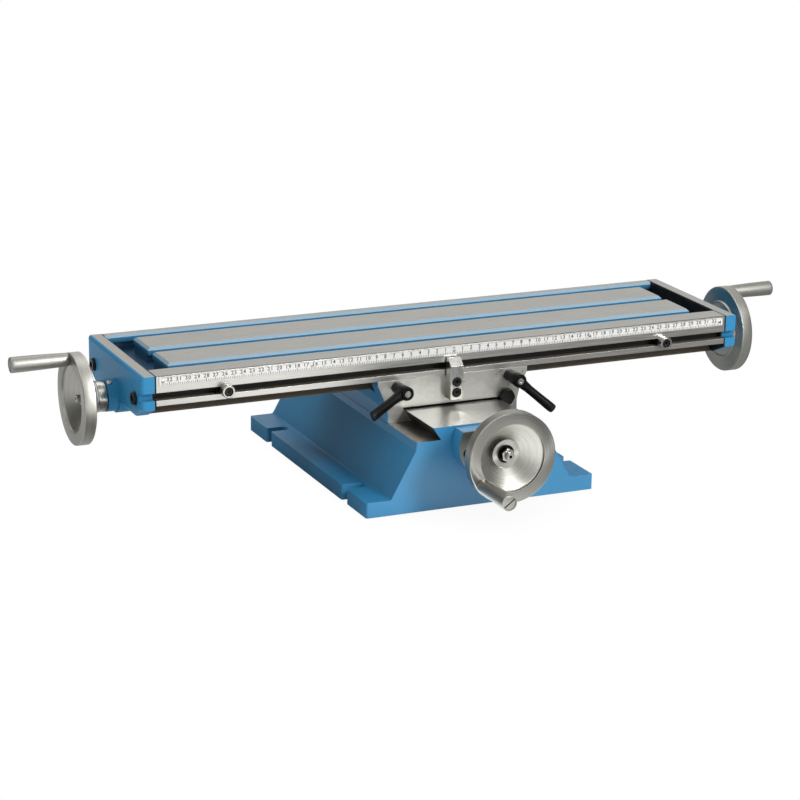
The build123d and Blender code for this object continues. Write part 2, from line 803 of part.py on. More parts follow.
def dial():
    """Graduated ring that turns on the hub to be set to zero."""
    z0 = -hub_shoulder - end_clear - dial_length
    z1 = z0 + dial_length
    r = hub_sleeve_radius + shaft_clear
    return turned([(r, z0), (dial_radius, z0), (dial_radius, z1 - 2.4), (dial_radius - 1, z1 - 1.8),
                   (dial_radius - 1, z1), (r, z1)])


def hub_nut():
    """Washer and hexagon nut that hold the wheel on its shaft, as two solids."""
    seat = hub_face - nut_recess_depth
    disc = washer(tail_radius + thread_clear, nut_recess_radius - 0.6, seat, hub_washer_thickness)
    base = seat + hub_washer_thickness
    body = hex_bar(hub_nut_across, hub_nut_height)
    r = hub_nut_across / 2
    body &= turned([(0, 0), (r * 1.12, 0), (r * 1.12, hub_nut_height - 0.9), (r * 0.96, hub_nut_height),
                    (0, hub_nut_height)])
    body -= Pos(0, 0, -1) * Cylinder(tail_radius + thread_clear, hub_nut_height + 2, align=BASE)
    return [disc, Pos(0, 0, base) * body]


def grip_pin():
    """Shouldered screw that the grip turns on, slotted at its end."""
    start = wheel_width - pin_depth
    top = wheel_width + end_clear + grip_length - 0.3
    under = top - pin_head_height
    body = turned([(0, start), (pin_radius, start), (pin_radius, under), (pin_head_radius, under),
                   (pin_head_radius, top - 0.4), (pin_head_radius - 0.4, top), (0, top)])
    body -= block(-10, 10, -0.7, 0.7, top - 1.2, top + 1)
    return Pos(grip_circle, 0, 0) * body


def grip():
    """Tapered sleeve that turns on the pin."""
    z0 = wheel_width + end_clear
    z1 = z0 + grip_length
    seat = z1 - 0.3 - pin_head_height - end_clear
    bore = pin_radius + shaft_clear
    head = pin_head_radius + 0.2
    outer = ThreePointArc(
        (grip_root_radius, z0 + 0.6),
        (grip_middle_radius, z0 + 0.43 * grip_length),
        (grip_end_radius, z1 - 0.8),
    )
    rest = Polyline(
        (grip_end_radius, z1 - 0.8),
        (grip_end_radius - 0.6, z1),
        (head, z1),
        (head, seat),
        (bore, seat),
        (bore, z0),
        (grip_root_radius - 0.5, z0),
        (grip_root_radius, z0 + 0.6),
    )
    body = revolve(Plane.XZ * make_face(outer + rest), Axis.Z)
    return Pos(grip_circle, 0, 0) * body


def stop_parts(x):
    """Travel stop in the table's front slot: collar, cap screw and slot nut."""
    face = -width_half
    frame = Plane(origin=(x, face, stop_slot_height), z_dir=(0, -1, 0))
    screw_frame = Plane(origin=(x, face - 3.5, stop_slot_height), z_dir=(0, -1, 0))
    size, length = stop_screw
    collar = Pos(0, 0, slide_clear) * Cylinder(stop_collar_radius, stop_collar_length, align=BASE)
    collar = chamfer(collar.edges().sort_by(Axis.Z)[-1], 0.6)
    collar = frame * collar - screw_frame * socket_seat(size, length)
    deep = stop_slot_depth - stop_slot_neck_depth - 0.6
    half = stop_slot_wide / 2 - 0.3
    y0 = -width_half + stop_slot_neck_depth + slide_clear
    nut = block(x - stop_nut_length / 2, x + stop_nut_length / 2, y0, y0 + deep,
                stop_slot_height - half, stop_slot_height + half)
    nut -= screw_frame * socket_seat(size, length + 4)
    return collar, screw_frame * socket_screw(size, length), nut


save("base_casting", base_casting())
save("cross_bracket", cross_bracket())
save_screws("cross_bracket_screws", bracket_screws)
save("cross_bush", bush((0, base_front, cross_axis), (0, -1, 0), bracket_length + bracket_nose_length))

save("cross_lead_screw", cross_screw())
save("cross_thrust_washers", *thrust_washers(front_wheel, bracket_length + bracket_nose_length))
save("saddle_casting", saddle_casting())
save("long_gib", long_gib())
save("cross_gib", cross_gib())
save("cross_gib_bolt", gib_bolt())
save("stop_block", stop_block())
save_screws("stop_block_screws", block_screws)
save("long_nut", long_nut())
save_screws("long_nut_screws", long_nut_screws)
save("cross_nut", cross_nut())
save_screws("cross_nut_screws", cross_nut_screws)
for name, side, angle in (("left", -1, lock_left_angle), ("right", 1, lock_right_angle)):
    frame = lock_frame(side, angle)
    save(f"{name}_lock_stud", frame * lock_stud())
    save(f"{name}_lock_handle", frame * lock_handle())
    save(f"{name}_lock_screw", frame * lock_screw())

save("table_casting", table_casting())
save("scale_strip", scale_strip())
save("scale_rivets", *[rivet(x) for x in rivet_places])
save("long_lead_screw", long_screw())
save("long_thrust_washers", *[
    w for frame in (left_wheel, right_wheel) for w in thrust_washers(frame, nose_length + plate_thickness)
])
save("nose_oilers", oiler_frame(-1) * oiler(), oiler_frame(1) * oiler())
for name, side in (("left", -1), ("right", 1)):
    save(f"{name}_end_plate", end_plate(side))
    save_screws(f"{name}_plate_screws", plate_screws[side])
    save(f"{name}_bush", bush((side * table_half, 0, long_axis), (side, 0, 0), plate_thickness + nose_length))
    collar, screw, nut = stop_parts(stop_places[side])
    save(f"{name}_stop_collar", collar)
    save(f"{name}_stop_screw", screw)
    save(f"{name}_stop_nut", nut)

for name, frame in (("left", left_wheel), ("right", right_wheel), ("front", front_wheel)):
    save(f"{name}_handwheel", frame * handwheel())
    save(f"{name}_dial", frame * dial())
    save(f"{name}_wheel_key", frame * key_bar())
    save(f"{name}_hub_nut", *[frame * s for s in hub_nut()])
    save(f"{name}_grip_pin", frame * grip_pin())
    save(f"{name}_grip", frame * grip())
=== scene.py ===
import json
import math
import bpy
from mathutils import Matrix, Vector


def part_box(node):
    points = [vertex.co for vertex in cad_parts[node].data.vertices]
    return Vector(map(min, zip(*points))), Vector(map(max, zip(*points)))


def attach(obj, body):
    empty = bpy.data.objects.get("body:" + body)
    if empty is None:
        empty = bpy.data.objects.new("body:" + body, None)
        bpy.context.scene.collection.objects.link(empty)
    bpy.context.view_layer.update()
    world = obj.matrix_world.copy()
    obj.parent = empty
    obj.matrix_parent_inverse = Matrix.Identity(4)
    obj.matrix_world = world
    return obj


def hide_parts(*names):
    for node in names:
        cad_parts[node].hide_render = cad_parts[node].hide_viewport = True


bl_info = {
    "name": "Cross slide table",
    "version": (1, 0, 0),
    "blender": (4, 5, 0),
    "location": "View3D > Sidebar > Slide table",
    "description": "Finishes and fine parts of a cross slide table, built around its packed frame",
    "category": "Add Mesh",
}

from functools import cache, partial, reduce

import bmesh
import bpy
from bpy.props import FloatProperty, FloatVectorProperty, IntProperty, PointerProperty
from mathutils import Matrix, Vector

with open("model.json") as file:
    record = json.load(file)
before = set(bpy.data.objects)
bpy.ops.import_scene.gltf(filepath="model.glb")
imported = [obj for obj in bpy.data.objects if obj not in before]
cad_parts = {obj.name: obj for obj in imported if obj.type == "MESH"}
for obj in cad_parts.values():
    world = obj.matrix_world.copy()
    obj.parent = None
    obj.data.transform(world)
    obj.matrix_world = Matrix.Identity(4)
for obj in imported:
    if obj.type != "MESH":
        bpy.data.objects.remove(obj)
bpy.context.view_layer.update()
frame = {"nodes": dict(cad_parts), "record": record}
NODES = frame["nodes"]
MM = 0.001
SIDES = ("left", "right")
WHEELS = ("left", "right", "front")
FRONT = Vector((0, -1, 0))
OUTWARD = {"left": Vector((-1, 0, 0)), "right": Vector((1, 0, 0)), "front": FRONT}
BODY_OF = {node: body for body, group in frame["record"]["behaviour"]["bodies"].items() for node in group}

# Places read from the frame, in metres
TABLE_LOW, TABLE_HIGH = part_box("table_casting")
SADDLE_LOW, SADDLE_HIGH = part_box("saddle_casting")
BASE_LOW, BASE_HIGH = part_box("base_casting")
SCALE_LOW, SCALE_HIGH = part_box("scale_strip")
TABLE_TOP = TABLE_HIGH.z
TABLE_UNDER = SADDLE_HIGH.z


class FinishColours(bpy.types.PropertyGroup):
    """Colours of the paints and metals, as linear values."""

    enamel: FloatVectorProperty(
        name="Enamel", description="Satin blue enamel of the castings",
        default=(0.024, 0.205, 0.405), size=3, min=0, max=1, subtype="COLOR")
    ground_steel: FloatVectorProperty(
        name="Ground steel", description="Ground top of the table and of the slides",
        default=(0.54, 0.53, 0.50), size=3, min=0, max=1, subtype="COLOR")
    machined_steel: FloatVectorProperty(
        name="Machined steel", description="Milled faces of the table, the saddle and the small steel parts",
        default=(0.44, 0.435, 0.405), size=3, min=0, max=1, subtype="COLOR")
    aluminium: FloatVectorProperty(
        name="Aluminium", description="Turned handwheels and grips",
        default=(0.48, 0.475, 0.435), size=3, min=0, max=1, subtype="COLOR")
    oxide: FloatVectorProperty(
        name="Black oxide", description="Blackened screws and bolts",
        default=(0.013, 0.013, 0.012), size=3, min=0, max=1, subtype="COLOR")
    oily_iron: FloatVectorProperty(
        name="Oily iron", description="Unpainted, oily iron in the slides and the stop slot",
        default=(0.028, 0.026, 0.021), size=3, min=0, max=1, subtype="COLOR")
    plastic: FloatVectorProperty(
        name="Black plastic", description="Moulded locking levers",
        default=(0.004, 0.004, 0.004), size=3, min=0, max=1, subtype="COLOR")
    bronze: FloatVectorProperty(
        name="Bronze", description="Bushes and nuts of the lead screws",
        default=(0.50, 0.30, 0.12), size=3, min=0, max=1, subtype="COLOR")
    scale_face: FloatVectorProperty(
        name="Scale face", description="Pale face of the scale strip",
        default=(0.70, 0.70, 0.68), size=3, min=0, max=1, subtype="COLOR")
    ink: FloatVectorProperty(
        name="Ink", description="Graduations and numbers",
        default=(0.03, 0.03, 0.032), size=3, min=0, max=1, subtype="COLOR")


class DetailSizes(bpy.types.PropertyGroup):
    """Sizes of the fine details that a user may change."""

    facets: IntProperty(
        name="Facets", description="Facets round each turned part", default=120, min=24, max=240)
    thread_lead: FloatProperty(
        name="Thread lead", description="Advance of the lead screws in one turn",
        default=4.0 * MM, min=1.0 * MM, unit="LENGTH")
    thread_depth: FloatProperty(
        name="Thread depth", description="Depth of the lead screws' thread",
        default=2.0 * MM, min=0.1 * MM, unit="LENGTH")
    tick_step: FloatProperty(
        name="Tick step", description="Distance between the scale's small ticks",
        default=2.0 * MM, min=0.5 * MM, unit="LENGTH")
    number_step: FloatProperty(
        name="Number step", description="Distance between the scale's numbers",
        default=10.0 * MM, min=5.0 * MM, unit="LENGTH")
    digit_height: FloatProperty(
        name="Digit height", description="Height of the scale's digits",
        default=3.9 * MM, min=1.0 * MM, unit="LENGTH")
    dial_divisions: IntProperty(
        name="Dial divisions", description="Divisions round each dial ring", default=80, min=10, max=200)
    ink_height: FloatProperty(
        name="Ink height", description="How far printed marks stand proud of their face",
        default=0.04 * MM, min=0.01 * MM, unit="LENGTH")


class StageSettings(bpy.types.PropertyGroup):
    """Camera and studio light."""

    camera_place: FloatVectorProperty(
        name="Camera place", description="Where the camera stands",
        default=(-1.1493, -2.5167, 0.8878), size=3, subtype="TRANSLATION", unit="LENGTH")
    camera_azimuth: FloatProperty(
        name="Camera azimuth", description="Turn of the camera to the left of straight on",
        default=math.radians(-24.132), subtype="ANGLE")
    camera_elevation: FloatProperty(
        name="Camera elevation", description="How far the camera looks down",
        default=math.radians(16.495), subtype="ANGLE")
    camera_roll: FloatProperty(
        name="Camera roll", description="Roll of the camera about its line of sight",
        default=math.radians(0.697), subtype="ANGLE")
    lens: FloatProperty(
        name="Lens", description="Focal length on a sensor 36 mm wide",
        default=117.43, min=20, subtype="DISTANCE_CAMERA")
    key_power: FloatProperty(
        name="Key light", description="Power of the light over the front right",
        default=56.0, min=0, unit="POWER")
    side_power: FloatProperty(
        name="Side light", description="Power of the light over the left end",
        default=9.0, min=0, unit="POWER")
    top_power: FloatProperty(
        name="Top light", description="Power of the light overhead", default=9.5, min=0, unit="POWER")
    sky: FloatProperty(
        name="Room light", description="Strength of the room's light at its brightest", default=1.0, min=0)
    soft_share: FloatProperty(
        name="Soft share", description="Share of the room's light that falls on matt faces",
        default=1.0, min=0, max=1)
    dark_side: FloatProperty(
        name="Dark side", description="Share of the room's light that its left side mirrors",
        default=0.18, min=0, max=1)


def finish_colours():
    return bpy.context.scene.slide_table_colours


def detail_sizes():
    return bpy.context.scene.slide_table_details


def stage_settings():
    return bpy.context.scene.slide_table_stage


class Nodes:
    """Short ways to add and join the shader nodes of a material or a world."""

    def __init__(self, owner):
        owner.use_nodes = True
        self.tree = owner.node_tree

    def join(self, value, socket):
        """Links an output to a socket, or sets the socket to a plain value."""
        if isinstance(value, bpy.types.NodeSocket):
            self.tree.links.new(value, socket)
        elif socket.type == "RGBA":
            socket.default_value = (*value, 1)
        else:
            socket.default_value = value

    def add(self, kind, inputs=None, **settings):
        """Adds a node with its settings, and joins values to its inputs by name or number."""
        node = self.tree.nodes.new("ShaderNode" + kind)
        for name, value in settings.items():
            setattr(node, name, value)
        for socket, value in (inputs or {}).items():
            self.join(value, node.inputs[socket])
        return node

    def math(self, operation, a, b=0.0):
        return self.add("Math", {0: a, 1: b}, operation=operation).outputs[0]

    def dot(self, a, b):
        return self.add("VectorMath", {0: a, 1: b}, operation="DOT_PRODUCT").outputs["Value"]

    def axes(self, vector):
        return tuple(self.add("SeparateXYZ", {0: vector}).outputs)

    def mix(self, factor, a, b):
        """Colour between a and b."""
        return self.add("Mix", {"Factor": factor, 6: a, 7: b}, data_type="RGBA").outputs[2]

    def blend(self, factor, a, b):
        """Plain value between a and b."""
        return self.add("Mix", {"Factor": factor, 2: a, 3: b}, data_type="FLOAT").outputs[0]

    def span(self, value, low, high, first=0.0, last=1.0, curve="LINEAR"):
        """Goes from first at low to last at high, and stays there outside."""
        inputs = {"Value": value, "From Min": low, "From Max": high, "To Min": first, "To Max": last}
        return self.add("MapRange", inputs, interpolation_type=curve).outputs[0]

    def over(self, value, limit):
        return self.math("GREATER_THAN", value, limit)

    def under(self, value, limit):
        return self.math("LESS_THAN", value, limit)

    def times(self, *values):
        """Product of values, which of masks is the place that all of them cover."""
        return reduce(partial(self.math, "MULTIPLY"), values)

    def either(self, *masks):
        return reduce(partial(self.math, "MAXIMUM"), masks)

    def show(self, factor, shader, other, output):
        """Shows one shader, or the other where the factor is 1."""
        mixed = self.add("MixShader", {0: factor, 1: shader.outputs[0], 2: other.outputs[0]})
        self.join(mixed.outputs[0], self.tree.nodes[output].inputs["Surface"])


class Finish(Nodes):
    """Nodes of one material, with the place on its part in metres."""

    def __init__(self, name):
        self.material = bpy.data.materials.new(name)
        super().__init__(self.material)
        self.shader = self.tree.nodes["Principled BSDF"]
        self.place = self.add("TexCoord").outputs["Object"]
        self.x, self.y, self.z = self.axes(self.place)

    def set(self, **values):
        """Sets the shader's sockets, written in small letters with _ for a space."""
        sockets = {socket.name.lower().replace(" ", "_"): socket for socket in self.shader.inputs}
        for name, value in values.items():
            self.join(value, sockets[name])

    def noise(self, scale, detail=3.0, stretch=(1, 1, 1), rough=0.5):
        """Noise from 0 to 1, with scale in waves a metre along each axis, times stretch."""
        place = self.add("VectorMath", {0: self.place, 1: stretch}, operation="MULTIPLY").outputs[0]
        inputs = {"Vector": place, "Scale": scale, "Detail": detail, "Roughness": rough}
        return self.add("TexNoise", inputs).outputs["Fac"]

    def radius(self):
        """Distance from the part's own axis."""
        return self.math("SQRT", self.math("ADD", self.times(self.x, self.x), self.times(self.y, self.y)))

    def ring_noise(self, scale):
        """Noise that depends only on the distance from the part's own axis and the place along it."""
        place = self.add("CombineXYZ", {0: self.radius(), 1: self.z}).outputs[0]
        return self.add("TexNoise", {"Vector": place, "Scale": scale, "Detail": 2.0}).outputs["Fac"]

    def round_normal(self, radius):
        """Normal of the surface with its corners rounded."""
        return self.add("Bevel", {"Radius": radius}, samples=4).outputs[0]

    def edges(self, radius=0.7 * MM):
        """Mask of the corners, which materials lighten both as rubbed wear and as a painted highlight."""
        even = self.dot(self.round_normal(radius), self.add("NewGeometry").outputs["True Normal"])
        return self.span(self.math("SUBTRACT", 1.0, even), 0.012, 0.10)

    def bump(self, height, distance, strength=1.0, soft_edge=0.0):
        """Normal from a height map, over corners softened by a small radius."""
        inputs = {"Height": height, "Distance": distance, "Strength": strength}
        if soft_edge:
            inputs["Normal"] = self.round_normal(soft_edge)
        self.set(normal=self.add("Bump", inputs).outputs[0])


def enamel_layers(g):
    """Colour, roughness and height of cast iron under satin enamel."""
    blue = Vector(finish_colours().enamel)
    fine = g.noise(260.0)
    colour = g.mix(g.span(g.noise(9.0), 0.3, 0.7), blue * 0.90, blue * 1.08)
    # Corners are lightened both as rubbed wear and as a painted highlight
    colour = g.mix(g.times(g.edges(), 0.35), colour, blue * 1.5 + Vector((0.05, 0.06, 0.06)))
    rough = g.blend(g.span(fine, 0.3, 0.7), 0.36, 0.46)
    return colour, rough, g.math("ADD", g.times(fine, 0.35), g.noise(95.0, 2.0))


def steel_layers(g, tone, grain=(1.0, 60.0, 60.0), low=0.26, high=0.42):
    """Colour, roughness and height of a machined face whose marks run along one axis."""
    tone = Vector(tone)
    streaks = g.noise(28.0, 4.0, grain, 0.62)
    colour = g.mix(g.span(streaks, 0.30, 0.72), tone * 0.86, tone * 1.10)
    colour = g.mix(g.times(g.span(g.noise(16.0), 0.45, 0.8), 0.25), colour, tone * 0.78)
    return colour, g.blend(g.span(streaks, 0.3, 0.7), low, high), streaks


class CastFinish(Finish):
    """Enamelled casting with bare machined faces and stained dark ones.

    Its paint, steel and stain are colours that a casting may change before layer() joins them.
    """

    def __init__(self, name, tone, grain=(1.0, 60.0, 60.0)):
        super().__init__(name)
        self.paint, self.paint_rough, self.paint_height = enamel_layers(self)
        self.steel, self.steel_rough, self.steel_height = steel_layers(self, tone, grain)
        oily = Vector(finish_colours().oily_iron)
        self.stain = self.mix(self.span(self.noise(70.0, 4.0), 0.35, 0.7), oily * 0.7, oily * 2.6)

    def layer(self, metal, dark, gloss=1.0, sheen=0.75):
        """Joins the layers by the masks of the bare faces and the dark ones."""
        self.set(
            base_color=self.mix(dark, self.mix(metal, self.paint, self.steel), self.stain),
            metallic=self.blend(dark, self.times(metal, gloss), 0.2),
            specular_ior_level=sheen,
            roughness=self.blend(dark, self.blend(metal, self.paint_rough, self.steel_rough), 0.5),
        )
        relief = self.blend(self.either(metal, dark), self.paint_height, self.times(self.steel_height, 0.04))
        self.bump(relief, 0.18 * MM, 0.8, 0.7 * MM)
        return self.material


def table_material():
    """Ground top, milled front, painted slots and a dark underside."""
    g = CastFinish("ground_table", finish_colours().ground_steel, (1.0, 45.0, 45.0))
    y, z, away = g.y, g.z, g.math("ABSOLUTE", g.y)
    top_face, chamfer, under_face = TABLE_TOP - 0.03 * MM, TABLE_TOP - 1.1 * MM, TABLE_UNDER + 0.05 * MM
    stop_low, stop_high, stop_back = TABLE_UNDER + 2 * MM, TABLE_UNDER + 18 * MM, -75.5 * MM
    lip_front, lip_top = -82.05 * MM, 129.4 * MM

    # Painted shade darkens the paint down in the slots, and a painted highlight lightens the chamfers at their mouths
    slot_shade = g.mix(0.78, g.paint, (0.0, 0.012, 0.03))
    g.paint = g.mix(g.span(z, TABLE_TOP - 8 * MM, TABLE_TOP - 3.0 * MM), slot_shade, g.paint)
    g.paint = g.mix(g.times(g.over(z, TABLE_TOP - 2.75 * MM), 0.7), g.paint, (0.34, 0.43, 0.47))

    # Brown underside, black stop slot and its brown lip
    brown = Vector((0.125, 0.105, 0.08))
    g.stain = g.mix(g.under(z, under_face), g.stain, brown)
    g.stain = g.mix(g.over(z, stop_low), g.stain, (0.008, 0.008, 0.006))
    g.stain = g.mix(g.times(g.over(z, stop_low), g.under(z, lip_top), g.under(y, lip_front)), g.stain, brown)

    front_edge = g.times(g.under(z, top_face), g.over(z, chamfer))
    g.steel = g.mix(g.times(front_edge, 0.62), g.steel, (0.05, 0.05, 0.045))

    corner = g.times(g.over(z, chamfer), g.over(away, TABLE_HIGH.y - 1.1 * MM))
    side = g.times(g.over(away, TABLE_HIGH.y - 0.1 * MM), g.over(z, TABLE_UNDER - 0.1 * MM))
    height = g.times(g.over(z, stop_low), g.under(z, stop_high))
    stop_slot = g.times(height, g.under(y, stop_back), g.over(y, TABLE_LOW.y + 0.1 * MM))
    return g.layer(g.either(g.over(z, top_face), corner, side), g.either(g.under(z, under_face), stop_slot))


def saddle_material():
    """Milled front and back, painted flanks and oily slides."""
    g = CastFinish("milled_saddle", finish_colours().machined_steel, (3.0, 3.0, 4.0))
    z, away, face = g.z, g.math("ABSOLUTE", g.y), SADDLE_HIGH.y - 0.2 * MM
    # The flanks' paint darkens along their lower edge as painted shade where they meet the base
    g.paint = g.mix(g.under(z, SADDLE_LOW.z + 0.8 * MM), g.paint, (0.001, 0.01, 0.02))
    right_edge = g.times(g.span(g.x, 83 * MM, 84.5 * MM), g.span(z, SADDLE_HIGH.z - 13 * MM, SADDLE_HIGH.z - 17 * MM))
    g.steel = g.mix(right_edge, g.steel, (0.012, 0.012, 0.01))
    groove = g.times(g.under(g.math("ABSOLUTE", g.x), 67 * MM), g.under(z, SADDLE_LOW.z + 18.2 * MM))
    seat = g.under(z, SADDLE_LOW.z + 0.1 * MM)
    top = g.times(g.over(z, SADDLE_HIGH.z - 16.8 * MM), g.under(away, 72 * MM))
    cap = g.over(z, SADDLE_HIGH.z - 0.1 * MM)
    return g.layer(g.over(away, face), g.times(g.either(groove, seat, top, cap), g.under(away, face)), gloss=0.55)


def base_material():
    """Painted casting with a ground dovetail, and a stained shelf that is darker towards the dovetail as painted
    shade.
    """
    g = CastFinish("painted_base", Vector(finish_colours().ground_steel) * 0.8, (60.0, 1.0, 60.0))
    y, z, away = g.y, g.z, g.math("ABSOLUTE", g.x)
    shelf, top, dovetail_side = SADDLE_LOW.z - 0.1 * MM, BASE_HIGH.z - 0.1 * MM, 60 * MM
    # The shelf is lighter and dusty towards its outer edge, and darker towards the dovetail as painted shade
    dust_and_painted_shade = g.times(g.span(away, dovetail_side, 74 * MM), g.span(g.noise(240.0), 0.2, 0.55))
    g.stain = g.mix(dust_and_painted_shade, g.stain, (0.20, 0.175, 0.15))

    # The dovetail darkens to the right as painted shade under the saddle, and is black where the saddle wipes it,
    # with oil and painted shade
    g.steel = g.mix(g.times(g.span(g.x, -25 * MM, 30 * MM), 0.65), g.steel, (0.05, 0.05, 0.045))
    ragged = g.math("ABSOLUTE", g.math("ADD", y, g.times(g.noise(220.0, 4.0), 5 * MM)))
    oil_and_shade = g.span(ragged, SADDLE_HIGH.y + 8.5 * MM, SADDLE_HIGH.y + 4.5 * MM)
    g.steel = g.mix(oil_and_shade, g.steel, (0.008, 0.008, 0.007))

    along = g.times(g.over(y, BASE_LOW.y + 0.1 * MM), g.under(y, BASE_HIGH.y - 0.1 * MM))
    slide = g.times(g.over(z, shelf), g.under(z, top), along)
    ground = g.times(g.over(z, top), g.under(away, dovetail_side))
    return g.layer(ground, g.either(slide, g.under(z, 0.05 * MM)), gloss=0.7)


def plate_material():
    """Painted end plate whose top edge is ground with the table."""
    g = CastFinish("painted_plate", finish_colours().ground_steel, (60.0, 1.0, 60.0))
    g.stain = g.mix(0.75, g.stain, (0.001, 0.002, 0.003))
    joint = g.under(g.math("ABSOLUTE", g.x), TABLE_HIGH.x + 1.6 * MM)
    return g.layer(g.over(g.z, TABLE_TOP - 0.03 * MM), joint, sheen=0.25)


def bracket_material():
    """Painted bracket of the cross screw, with a milled face."""
    # The milled face's steel is darkened as painted shade of the handwheel
    g = CastFinish("painted_bracket", Vector(finish_colours().machined_steel) * 0.75)
    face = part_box("cross_bracket")[0].y + 16.0 * MM
    return g.layer(g.under(g.y, face + 0.05 * MM), g.over(g.y, BASE_LOW.y - 0.02 * MM))


def steel_material(name, tone, grain, low=0.22, high=0.38):
    """Bare machined steel, with marks along one of the part's axes."""
    g = Finish(name)
    colour, rough, height = steel_layers(g, tone, grain, low, high)
    # Corners are lightened both as rubbed wear and as a painted highlight
    g.set(base_color=g.mix(g.times(g.edges(), 0.4), colour, Vector(tone) * 1.35), metallic=1.0, roughness=rough)
    g.bump(g.times(height, 0.15), 0.12 * MM, 0.7, 0.4 * MM)
    return g.material


def turned_material(name, tone, anisotropy=0.75, low=0.20, high=0.34, zones=()):
    """Metal turned on a lathe, with fine rings round the part's own axis.

    Zones are darker, each given as (radius it reaches, lowest and highest place in mm, share of the tone).
    """
    g = Finish(name)
    tone = Vector(tone)
    rings, bands, radius = g.ring_noise(1500.0), g.ring_noise(240.0), g.radius()
    colour = g.mix(g.span(bands, 0.3, 0.7), tone * 0.93, tone * 1.05)
    for reach, lowest, highest, share in zones:
        inside = g.times(g.under(radius, reach * MM), g.over(g.z, lowest * MM), g.under(g.z, highest * MM))
        colour = g.mix(inside, colour, tone * share)
    tangent = g.add("Tangent", direction_type="RADIAL", axis="Z").outputs[0]
    rough = g.blend(g.span(rings, 0.3, 0.7), low, high)
    g.set(base_color=colour, metallic=1.0, roughness=rough, anisotropic=anisotropy, tangent=tangent)
    g.bump(rings, 0.004 * MM, 0.5)
    return g.material


def oxide_material():
    """Blackened steel, its corners lightened as rubbed wear and as a painted highlight."""
    g = Finish("black_oxide")
    black = Vector(finish_colours().oxide)
    patches = g.span(g.noise(300.0), 0.3, 0.7)
    edge_wear_and_highlight = g.times(g.edges(0.3 * MM), 0.5)
    colour = g.mix(edge_wear_and_highlight, g.mix(patches, black * 0.7, black * 1.6), (0.16, 0.16, 0.155))
    g.set(base_color=colour, metallic=0.6, roughness=g.blend(patches, 0.30, 0.44))
    g.bump(g.noise(900.0), 0.03 * MM, 0.5)
    return g.material


def plastic_material():
    """Moulded plastic with a fine spark-eroded grain."""
    g = Finish("moulded_plastic")
    black = Vector(finish_colours().plastic)
    grain = g.noise(1400.0, 2.0)
    # Corners are lightened as a painted highlight and as rubbed wear
    edge_wear_and_highlight = g.times(g.edges(0.6 * MM), 0.6)
    colour = g.mix(edge_wear_and_highlight, g.mix(grain, black * 0.8, black * 1.3), (0.075, 0.075, 0.075))
    g.set(base_color=colour, metallic=0.0, specular_ior_level=0.09, roughness=g.blend(grain, 0.32, 0.42))
    g.bump(grain, 0.04 * MM, 0.5)
    return g.material


def printed_material():
    """Matt ink."""
    g = Finish("ink")
    ink = Vector(finish_colours().ink)
    colour = g.mix(g.noise(500.0), ink * 0.7, ink * 1.5)
    g.set(base_color=colour, metallic=0.0, roughness=g.blend(g.noise(900.0), 0.5, 0.65))
    return g.material


def scale_material():
    """Pale satin face of the scale, a little dirty along its edges."""
    g = Finish("scale_face")
    pale = Vector(finish_colours().scale_face)
    away = g.math("ABSOLUTE", g.math("SUBTRACT", g.z, (SCALE_LOW.z + SCALE_HIGH.z) / 2))
    dirt = g.times(g.span(away, 2.9 * MM, 4.4 * MM), g.span(g.noise(220.0, 4.0), 0.35, 0.65), 0.6)
    colour = g.mix(dirt, g.mix(g.noise(60.0), pale * 0.93, pale), pale * 0.42)
    g.set(base_color=colour, metallic=0.15, roughness=g.blend(g.noise(150.0), 0.34, 0.48))
    g.bump(g.noise(60.0, 2.0, (1, 1, 30)), 0.03 * MM, 0.4)
    return g.material


# Darker zones of turned parts: radius they reach, lowest and highest place in mm, share of the tone. The centre hole,
# the hub's recess and the pin's slot are darkened as painted shade.
ALL = 999
CENTRE_HOLE_SHADE = (1.7, -ALL, ALL, 0.04)
HUB_RECESS_SHADE = (9.5, -ALL, -3.6, 0.05)
RIM_FACE = (ALL, 12.9, ALL, 0.62)
NUT_FLANKS = (12.0, -ALL, 2.4, 0.06)
PIN_SLOT_SHADE = (ALL, -ALL, 74.3, 0.08)


@cache
def material(name):
    """Material of a finish, made when it is first asked for."""
    colours = finish_colours()
    steel, aluminium, bright_steel = colours.machined_steel, colours.aluminium, Vector(colours.machined_steel) * 1.35
    makers = {
        "table": table_material,
        "saddle": saddle_material,
        "base": base_material,
        "plate": plate_material,
        "bracket": bracket_material,
        "bright": lambda: steel_material("bright_steel", steel, (30.0, 30.0, 1.0)),
        "block": lambda: steel_material("block_steel", bright_steel, (6.0, 6.0, 1.0)),
        "iron": lambda: steel_material("gib_iron", Vector(colours.ground_steel) * 0.7, (1.0, 60.0, 60.0), 0.35, 0.5),
        "rod": lambda: turned_material("rod_steel", steel, 0.4, zones=(CENTRE_HOLE_SHADE,)),
        "wheel": lambda: turned_material("turned_aluminium", aluminium, 0.85, 0.26, 0.36, (HUB_RECESS_SHADE, RIM_FACE)),
        "nut": lambda: turned_material("nut_steel", steel, 0.3, 0.25, 0.4, (NUT_FLANKS,)),
        "grip": lambda: turned_material("grip_aluminium", Vector(aluminium) * 0.78, 0.5, 0.36, 0.46),
        "pin": lambda: turned_material("pin_steel", Vector(aluminium) * 0.66, 0.5, 0.36, 0.46, (PIN_SLOT_SHADE,)),
        "dial": lambda: turned_material("dial_steel", bright_steel, 0.6, 0.18, 0.28),
        "bronze": lambda: turned_material("bronze", colours.bronze, 0.4, 0.25, 0.4),
        "oxide": oxide_material,
        "plastic": plastic_material,
        "ink": printed_material,
        "scale": scale_material,
    }
    return makers[name]()


def linked(name, data):
    """New object of the scene, with a mesh, curve, light or camera."""
    thing = bpy.data.objects.new(name, data)
    bpy.context.scene.collection.objects.link(thing)
    return thing


